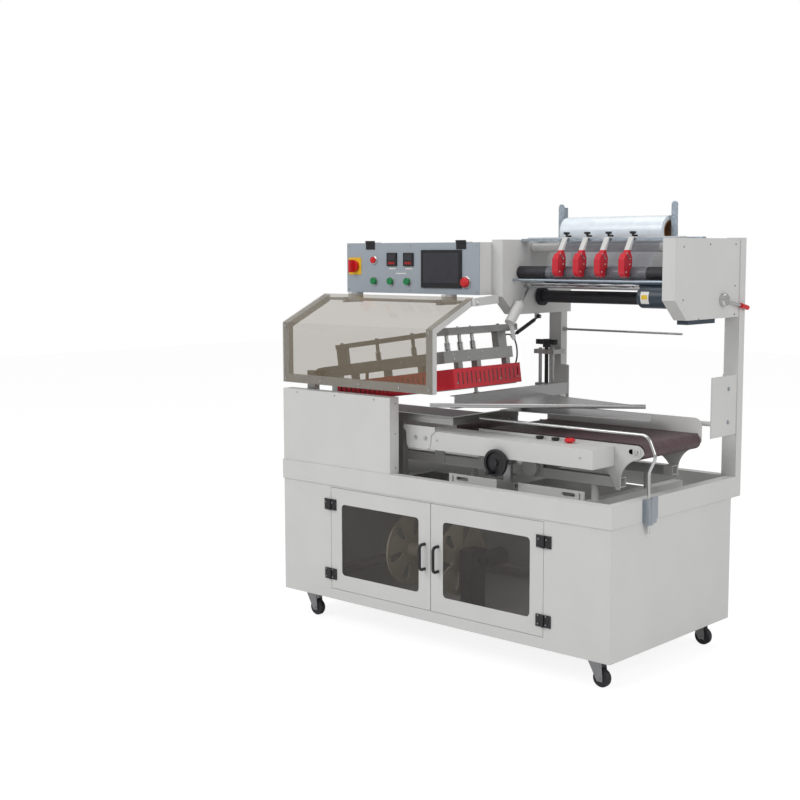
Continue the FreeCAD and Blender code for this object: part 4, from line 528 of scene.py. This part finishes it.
def curve_through(points, per_run=8):
    """Places on a smooth Catmull-Rom line through the given ones."""
    ends = [points[0] * 2 - points[1]] + list(points) + [points[-1] * 2 - points[-2]]
    out = []
    for a, b, c, d in zip(ends, ends[1:], ends[2:], ends[3:]):
        for k in range(per_run):
            t = k / per_run
            out.append(0.5 * ((b * 2) + (c - a) * t + (a * 2 - b * 5 + c * 4 - d) * t * t
                              + (b * 3 - a - c * 3 + d) * t ** 3))
    out.append(points[-1])
    return out


def screw_heads(name, points, normal, body, radius=3.2, material="zinc"):
    """Domed screw heads with a hexagon recess at each point."""
    def make(bm):
        for p in points:
            lathe(bm, [(radius, -0.4), (radius, 0.9), (radius * 0.8, 1.7), (radius * 0.5, 1.9)], p, normal, 14)
            lathe(bm, [(radius * 0.5, 1.92), (radius * 0.42, 0.8)], p, normal, 6)
    return piece(name, make, material, body)


def hex_bolts(name, points, normal, body, radius=7.0, height=5.0, material="zinc"):
    """Washer, hexagon head and a rounded top at each point."""
    def make(bm):
        for p in points:
            lathe(bm, [(radius * 1.25, 0), (radius * 1.25, 1.4)], p, normal, 20)
            lathe(bm, [(radius, 1.4), (radius, height), (radius * 0.85, height + 0.8)], p, normal, 6)
    return piece(name, make, material, body)


# ---------- covers, rim and brackets ----------
def housing_screws():
    lo, hi = span("front_housing")
    top = [at(lo.x + (hi.x - lo.x) * t, lo.y, hi.z - 12) for t in (0.14, 0.5, 0.86)]
    side = [at(hi.x, lo.y + 30, z) for z in (hi.z - 24, lo.z + (hi.z - lo.z) * 0.52, lo.z + 22)]
    screw_heads("housing_screws_front", top, -Y, "machine", 3.0, "caster")
    screw_heads("housing_screws_side", side, X, "machine", 3.0, "caster")


def side_box_screws():
    lo, hi = span("film_housing")
    x = hi.x
    spots = [(0.12, 0.90), (0.52, 0.93), (0.93, 0.93), (0.12, 0.30), (0.93, 0.44), (0.36, 0.07), (0.93, 0.10)]
    points = [at(x, lo.y + (hi.y - lo.y) * a, lo.z + (1540 - lo.z) * b) for a, b in spots]
    screw_heads("film_box_screws", points, X, "machine", 3.4, "caster")


def column_bolts():
    lo, hi = span("main_frame")
    plate = at(0, 0, 0)
    points = [at(1600, 765, z) for z in (860, 985)]
    hex_bolts("column_bracket_bolts", points, X, "machine", 6.5, 4.0)


housing_screws()
side_box_screws()
column_bolts()


# ---------- panel ----------
def panel_details():
    """Rings round the buttons, faces and lit figures on the controllers, and the dark glass of the screen."""
    front = span("control_panel")[0].y
    face = span("panel_instruments")[0].y

    def rings(bm):
        for node in ("heat_switch_left", "heat_switch_right", "green_button"):
            lo, hi = span(node)
            lathe(bm, [(15.0, -0.4), (18.5, -0.4), (18.5, 2.4), (16.8, 4.0), (15.0, 4.0)],
                  at((lo.x + hi.x) / 2, front, (lo.z + hi.z) / 2), -Y, 28, False)
    piece("button_rings", rings, "bright", "panel")

    def collar(bm):
        lo, hi = span("panel_estop")
        lathe(bm, [(20.8, -0.4), (24.0, -0.4), (24.0, 2.0), (20.8, 3.0)],
              at((lo.x + hi.x) / 2, front, (lo.z + hi.z) / 2), -Y, 28, False)
        lathe(bm, [(13.2, -0.4), (17.0, -0.4), (17.0, 3.0), (13.2, 4.4)], at(236, front, 1461), -Y, 28, False)
    piece("stop_and_lamp_collars", collar, "steel", "panel")

    def glass(bm):
        block(bm, at(509, front - 7.6, 1372), at(691, front - 6.6, 1490), 0.3)
        for x in (310, 400):
            block(bm, at(x + 7, front - 6.5, 1461), at(x + 46, front - 5.6, 1484), 0.3)
    piece("screen_glass", glass, "screen", "panel")

    def figures(bm):
        for x in (310, 400):
            for k in range(4):
                block(bm, at(x + 10 + 9 * k, front - 6.7, 1444), at(x + 15 + 9 * k, front - 5.6, 1454), 0.2)
    piece("controller_figures", figures, "red", "panel")

    def plates(bm):
        for x in (310, 400):
            block(bm, at(x + 8, front - 0.6, 1424), at(x + 45, front + 0.4, 1430), 0.2)
        block(bm, at(356, front - 0.6, 1405), at(412, front + 0.4, 1410), 0.2)
    piece("blank_plates", plates, "label", "panel")
    corners = [at(x, front, z) for x in (92, 435, 777) for z in (1340, 1518)]
    screw_heads("panel_screws", corners, -Y, "panel", 2.6, "caster")


def guard_rivets():
    lo, hi = span("guard_panes")
    low = [at(x, lo.y, lo.z + 16) for x in (16, 215, 430, 640, hi.x - 16)]
    high = [at(x, lo.y, 1196) for x in (16, hi.x - 16)]
    screw_heads("guard_rivets", low + high, -Y, "guard", 4.2, "bright")


def hinge_screws():
    front = span("door_hinges")[0].y
    for axis, side, door in ((271, -1, "left"), (1323, 1, "right")):
        for body, way in (("machine", side), ("door_body_" + door, -side)):
            points = [at(axis + way * 17, front, z) for z in (200, 230, 472, 502)]
            screw_heads("hinge_screws_%s_%s" % (door, body), points, -Y, body, 3.0, "caster")


def conveyor_bolts():
    """Bolts on the conveyor's front bracket, on the cover beside it and on the end of the nose roller."""
    plate = span("conveyor_frame")[0].y
    hex_bolts("bracket_bolts", [at(x, plate, 787) for x in (642, 691)], -Y, "conveyor", 6.5, 4.5, "bright")
    screw_heads("conveyor_cover_screws", [at(x, plate + 3.6, 782) for x in (745, 1400)], -Y, "conveyor", 4.0,
                "bright")
    hex_bolts("nose_roller_bolt", [at(1546, span("nose_roller")[0].y, 801)], -Y, "belt_nose_roller", 7.0, 5.0,
              "bright")


panel_details()
guard_rivets()
hinge_screws()
conveyor_bolts()


# ---------- jaw ----------
JAW_PIVOT = (100.0, 990.0)
JAW_OPEN = math.radians(8.3)


def on_jaw(x, y, z):
    """A place given on the shut jaw, carried to where the open jaw holds it at rest."""
    dx, dz = x - JAW_PIVOT[0], z - JAW_PIVOT[1]
    c, s_ = math.cos(JAW_OPEN), math.sin(JAW_OPEN)
    return at(JAW_PIVOT[0] + dx * c - dz * s_, y, JAW_PIVOT[1] + dx * s_ + dz * c)


def jaw_details():
    c, s_ = math.cos(JAW_OPEN), math.sin(JAW_OPEN)
    out, up = Vector((c, 0, s_)), Vector((-s_, 0, c))
    side = [on_jaw(822, y, z) for y in (120, 205, 290, 375, 455) for z in (990, 1010)]
    screw_heads("jaw_side_screws", side, out, "jaw", 4.0, "bright")
    front = [on_jaw(x, 104, 1000) for x in (180, 300, 430, 560, 690, 800)]
    screw_heads("jaw_front_screws", front, -Y, "jaw", 4.5, "bright")
    tops = [on_jaw(802, y, 1108) for y in (110, 185, 260, 425)] + [on_jaw(x, 124, 1104) for x in (236, 430, 620)]
    hex_bolts("upper_frame_bolts", tops, up, "jaw", 7.0, 5.0, "bright")
    low = [on_jaw(825, y, 900) for y in (120, 250, 380, 490)]
    screw_heads("cover_screws", low, out, "jaw", 3.2, "bright")

    def springs(bm):
        for x, y in ((430, 124), (620, 124), (802, 110), (802, 185), (802, 260)):
            turns, base, high, r = 7, 1024.0, 30.0, 10.5
            coil = [on_jaw(x + r * math.cos(t), y + r * math.sin(t), base + high * t / (2 * math.pi * turns))
                    for t in (2 * math.pi * k / 12 for k in range(12 * turns + 1))]
            pill(bm, coil, 1.4, 6)
    piece("jaw_springs", springs, "bright", "jaw")


def jaw_cable():
    """The heater's cable: out of the block on the beam, round in a loop and into the end of the red cover."""
    route = [on_jaw(802, y, z) for y, z in ((450, 1066), (464, 1067), (492, 1070), (520, 1056), (533, 1022),
                                            (530, 984), (518, 958), (508, 944))]
    curve = bpy.data.curves.new("jaw_cable", "CURVE")
    curve.dimensions = "3D"
    curve.bevel_depth = 0.0032
    curve.bevel_resolution = 4
    spline = curve.splines.new("NURBS")
    spline.points.add(len(route) - 1)
    for point, place_ in zip(spline.points, route):
        point.co = (*place_, 1)
    spline.order_u = 3
    spline.use_endpoint_u = True
    obj = bpy.data.objects.new("jaw_cable", curve)
    bpy.context.scene.collection.objects.link(obj)
    curve.materials.append(mat["hose"])
    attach(obj, "jaw")


jaw_details()
jaw_cable()


# ---------- film ----------
def film_web():
    """The web from the roll over the front cradle roller, round the rubber roller and up to the steel one."""
    lo, hi = span("film_roll")
    ry, rz, rr = 483.0, 1413.0, 25.3
    path = [(559.0, 1545.0), (549.5, 1525.0), (548.3, 1508.0), (540.0, 1490.0), (526.0, 1474.0), (512.0, 1459.0),
            (499.0, 1445.0)]
    path += [(ry + rr * math.cos(a), rz + rr * math.sin(a))
             for a in (math.radians(70 + 20 * k) for k in range(11))]
    path += [(545.0, 1391.0), (600.0, 1394.0), (640.0, 1397.0), (667.0, 1398.6)]
    columns = 90

    def make(bm):
        rows = []
        for k, (y, z) in enumerate(path):
            free = 1.0 if 1 < k < 6 or k > 18 else 0.12
            row = []
            for i in range(columns + 1):
                x = lo.x + 4 + (hi.x - lo.x - 8) * i / columns
                t = i * 0.55
                wave = math.sin(t + 0.6 * k) * 0.9 + math.sin(2.3 * t + 1.7 * k) * 0.5
                row.append(bm.verts.new(at(x, y - free * (wave + 1.4) * 0.6, z + free * (wave + 1.4) * 0.6)))
            rows.append(row)
        for a, b in zip(rows, rows[1:]):
            for i in range(columns):
                f = bm.faces.new((a[i], a[i + 1], b[i + 1], b[i]))
                f.smooth = True
    obj = piece("film_web", make, "clear_film", "machine")


def perforator_details():
    """A chrome clamp lever, its stud and two white screws on the right side of each red guard."""
    for k in range(1, 5):
        lo, hi = span("perforator_%d" % k)
        wheel_y, wheel_z = lo.y + 26, 1425.0

        def chrome(bm, x=hi.x, y=wheel_y, z=wheel_z):
            lathe(bm, [(3.4, -0.3), (3.4, 7.0), (2.6, 7.6)], at(x, y + 4, z + 42), X, 14)
            pill(bm, [at(x + 5, y + 4, z + 42), at(x + 7, y - 10, z + 54), at(x + 8, y - 20, z + 62)], 1.8, 8)
        piece("perforator_lever_%d" % k, chrome, "bright", "perforator_arm_%d" % k)
        screw_heads("perforator_screws_%d" % k, [at(hi.x, wheel_y - 12, wheel_z - 6), at(hi.x, wheel_y + 10, wheel_z + 22)],
                    X, "perforator_arm_%d" % k, 2.6, "label")


def motor_label():
    """A plain white and yellow plate bent round the film motor's front."""
    y, z, r = MOTOR_AXIS[0], MOTOR_AXIS[1], MOTOR_RADIUS + 0.5
    for name, x0, x1, low, high in (("motor_plate", 1436, 1470, 150, 215), ("motor_plate_band", 1441, 1465, 168, 190)):
        def make(bm, x0=x0, x1=x1, low=low, high=high, lift=0.3 if "band" in name else 0.0):
            rows = [[bm.verts.new(at(x, y + (r + lift) * math.cos(a), z + (r + lift) * math.sin(a)))
                     for x in (x0, x1)] for a in (math.radians(low + (high - low) * k / 10) for k in range(11))]
            for a, b in zip(rows, rows[1:]):
                bm.faces.new((a[0], a[1], b[1], b[0]))
        piece(name, make, "yellow" if "band" in name else "label", "machine")


film_web()
perforator_details()
motor_label()


# ---------- stage, light and camera ----------
def backdrop():
    """A pale floor: a flat square under the machine."""
    m = bpy.data.materials.new("pale floor")
    m.use_nodes = True
    tree = m.node_tree
    b = tree.nodes["Principled BSDF"]
    b.inputs["Roughness"].default_value = 0.9
    b.inputs["Base Color"].default_value = (0.84, 0.84, 0.84, 1)
    bright = tree.nodes.new("ShaderNodeEmission")
    bright.inputs["Color"].default_value = (1, 1, 1, 1)
    bright.inputs["Strength"].default_value = 1.22
    mix = tree.nodes.new("ShaderNodeMixShader")
    rays = tree.nodes.new("ShaderNodeLightPath")
    direct = tree.nodes.new("ShaderNodeMath")
    direct.operation = "MULTIPLY"
    direct.inputs[1].default_value = 0.70
    tree.links.new(rays.outputs["Is Camera Ray"], direct.inputs[0])
    tree.links.new(direct.outputs[0], mix.inputs["Fac"])
    tree.links.new(b.outputs[0], mix.inputs[1])
    tree.links.new(bright.outputs[0], mix.inputs[2])
    tree.links.new(mix.outputs[0], tree.nodes["Material Output"].inputs["Surface"])
    bm = bmesh.new()
    half = 14.0
    verts = [bm.verts.new((x, y, 0)) for x, y in ((-half, -half), (half, -half), (half, half), (-half, half))]
    bm.faces.new(verts)
    data = bpy.data.meshes.new("floor")
    bm.to_mesh(data)
    bm.free()
    floor = bpy.data.objects.new("floor", data)
    data.materials.append(m)
    bpy.context.scene.collection.objects.link(floor)


def world():
    w = bpy.data.worlds.new("studio")
    bpy.context.scene.world = w
    w.use_nodes = True
    tree = w.node_tree
    light = tree.nodes["Background"]
    light.inputs["Color"].default_value = (1, 1, 1, 1)
    light.inputs["Strength"].default_value = 0.50
    seen = tree.nodes.new("ShaderNodeBackground")
    seen.inputs["Color"].default_value = (1, 1, 1, 1)
    seen.inputs["Strength"].default_value = 1.0
    rays = tree.nodes.new("ShaderNodeLightPath")
    mix = tree.nodes.new("ShaderNodeMixShader")
    tree.links.new(rays.outputs["Is Camera Ray"], mix.inputs["Fac"])
    tree.links.new(light.outputs[0], mix.inputs[1])
    tree.links.new(seen.outputs[0], mix.inputs[2])
    tree.links.new(mix.outputs[0], tree.nodes["World Output"].inputs["Surface"])


def lamp(name, place_, target, size, power):
    data = bpy.data.lights.new(name, "AREA")
    data.shape = "RECTANGLE"
    data.size, data.size_y = size
    data.energy = power
    obj = bpy.data.objects.new(name, data)
    obj.location = place_
    obj.rotation_euler = (Vector(target) - Vector(place_)).to_track_quat("-Z", "Y").to_euler()
    bpy.context.scene.collection.objects.link(obj)


def camera():
    data = bpy.data.cameras.new("camera")
    data.sensor_width = 36.0
    data.lens = 60.48
    data.clip_end = 100.0
    obj = bpy.data.objects.new("camera", data)
    look = Euler((math.radians(90 - 6.30), 0, math.radians(42.411))).to_matrix().to_4x4()
    roll = Matrix.Rotation(math.radians(-0.156), 4, "Z")
    obj.matrix_world = Matrix.Translation(at(4047.7, -3722.8, 1495.0)) @ look @ roll
    bpy.context.scene.collection.objects.link(obj)
    bpy.context.scene.camera = obj


backdrop()
world()
lamp("key", (-1.5, -4.5, 4.2), (0, 0, 0.8), (3.5, 2.5), 118)
lamp("right", (5.0, -1.0, 3.4), (0, 0, 0.8), (3.0, 2.5), 76)
lamp("top", (0, 0.5, 5.0), (0, 0, 0.8), (4.0, 3.0), 58)
camera()
bpy.context.scene.view_settings.view_transform = "Standard"
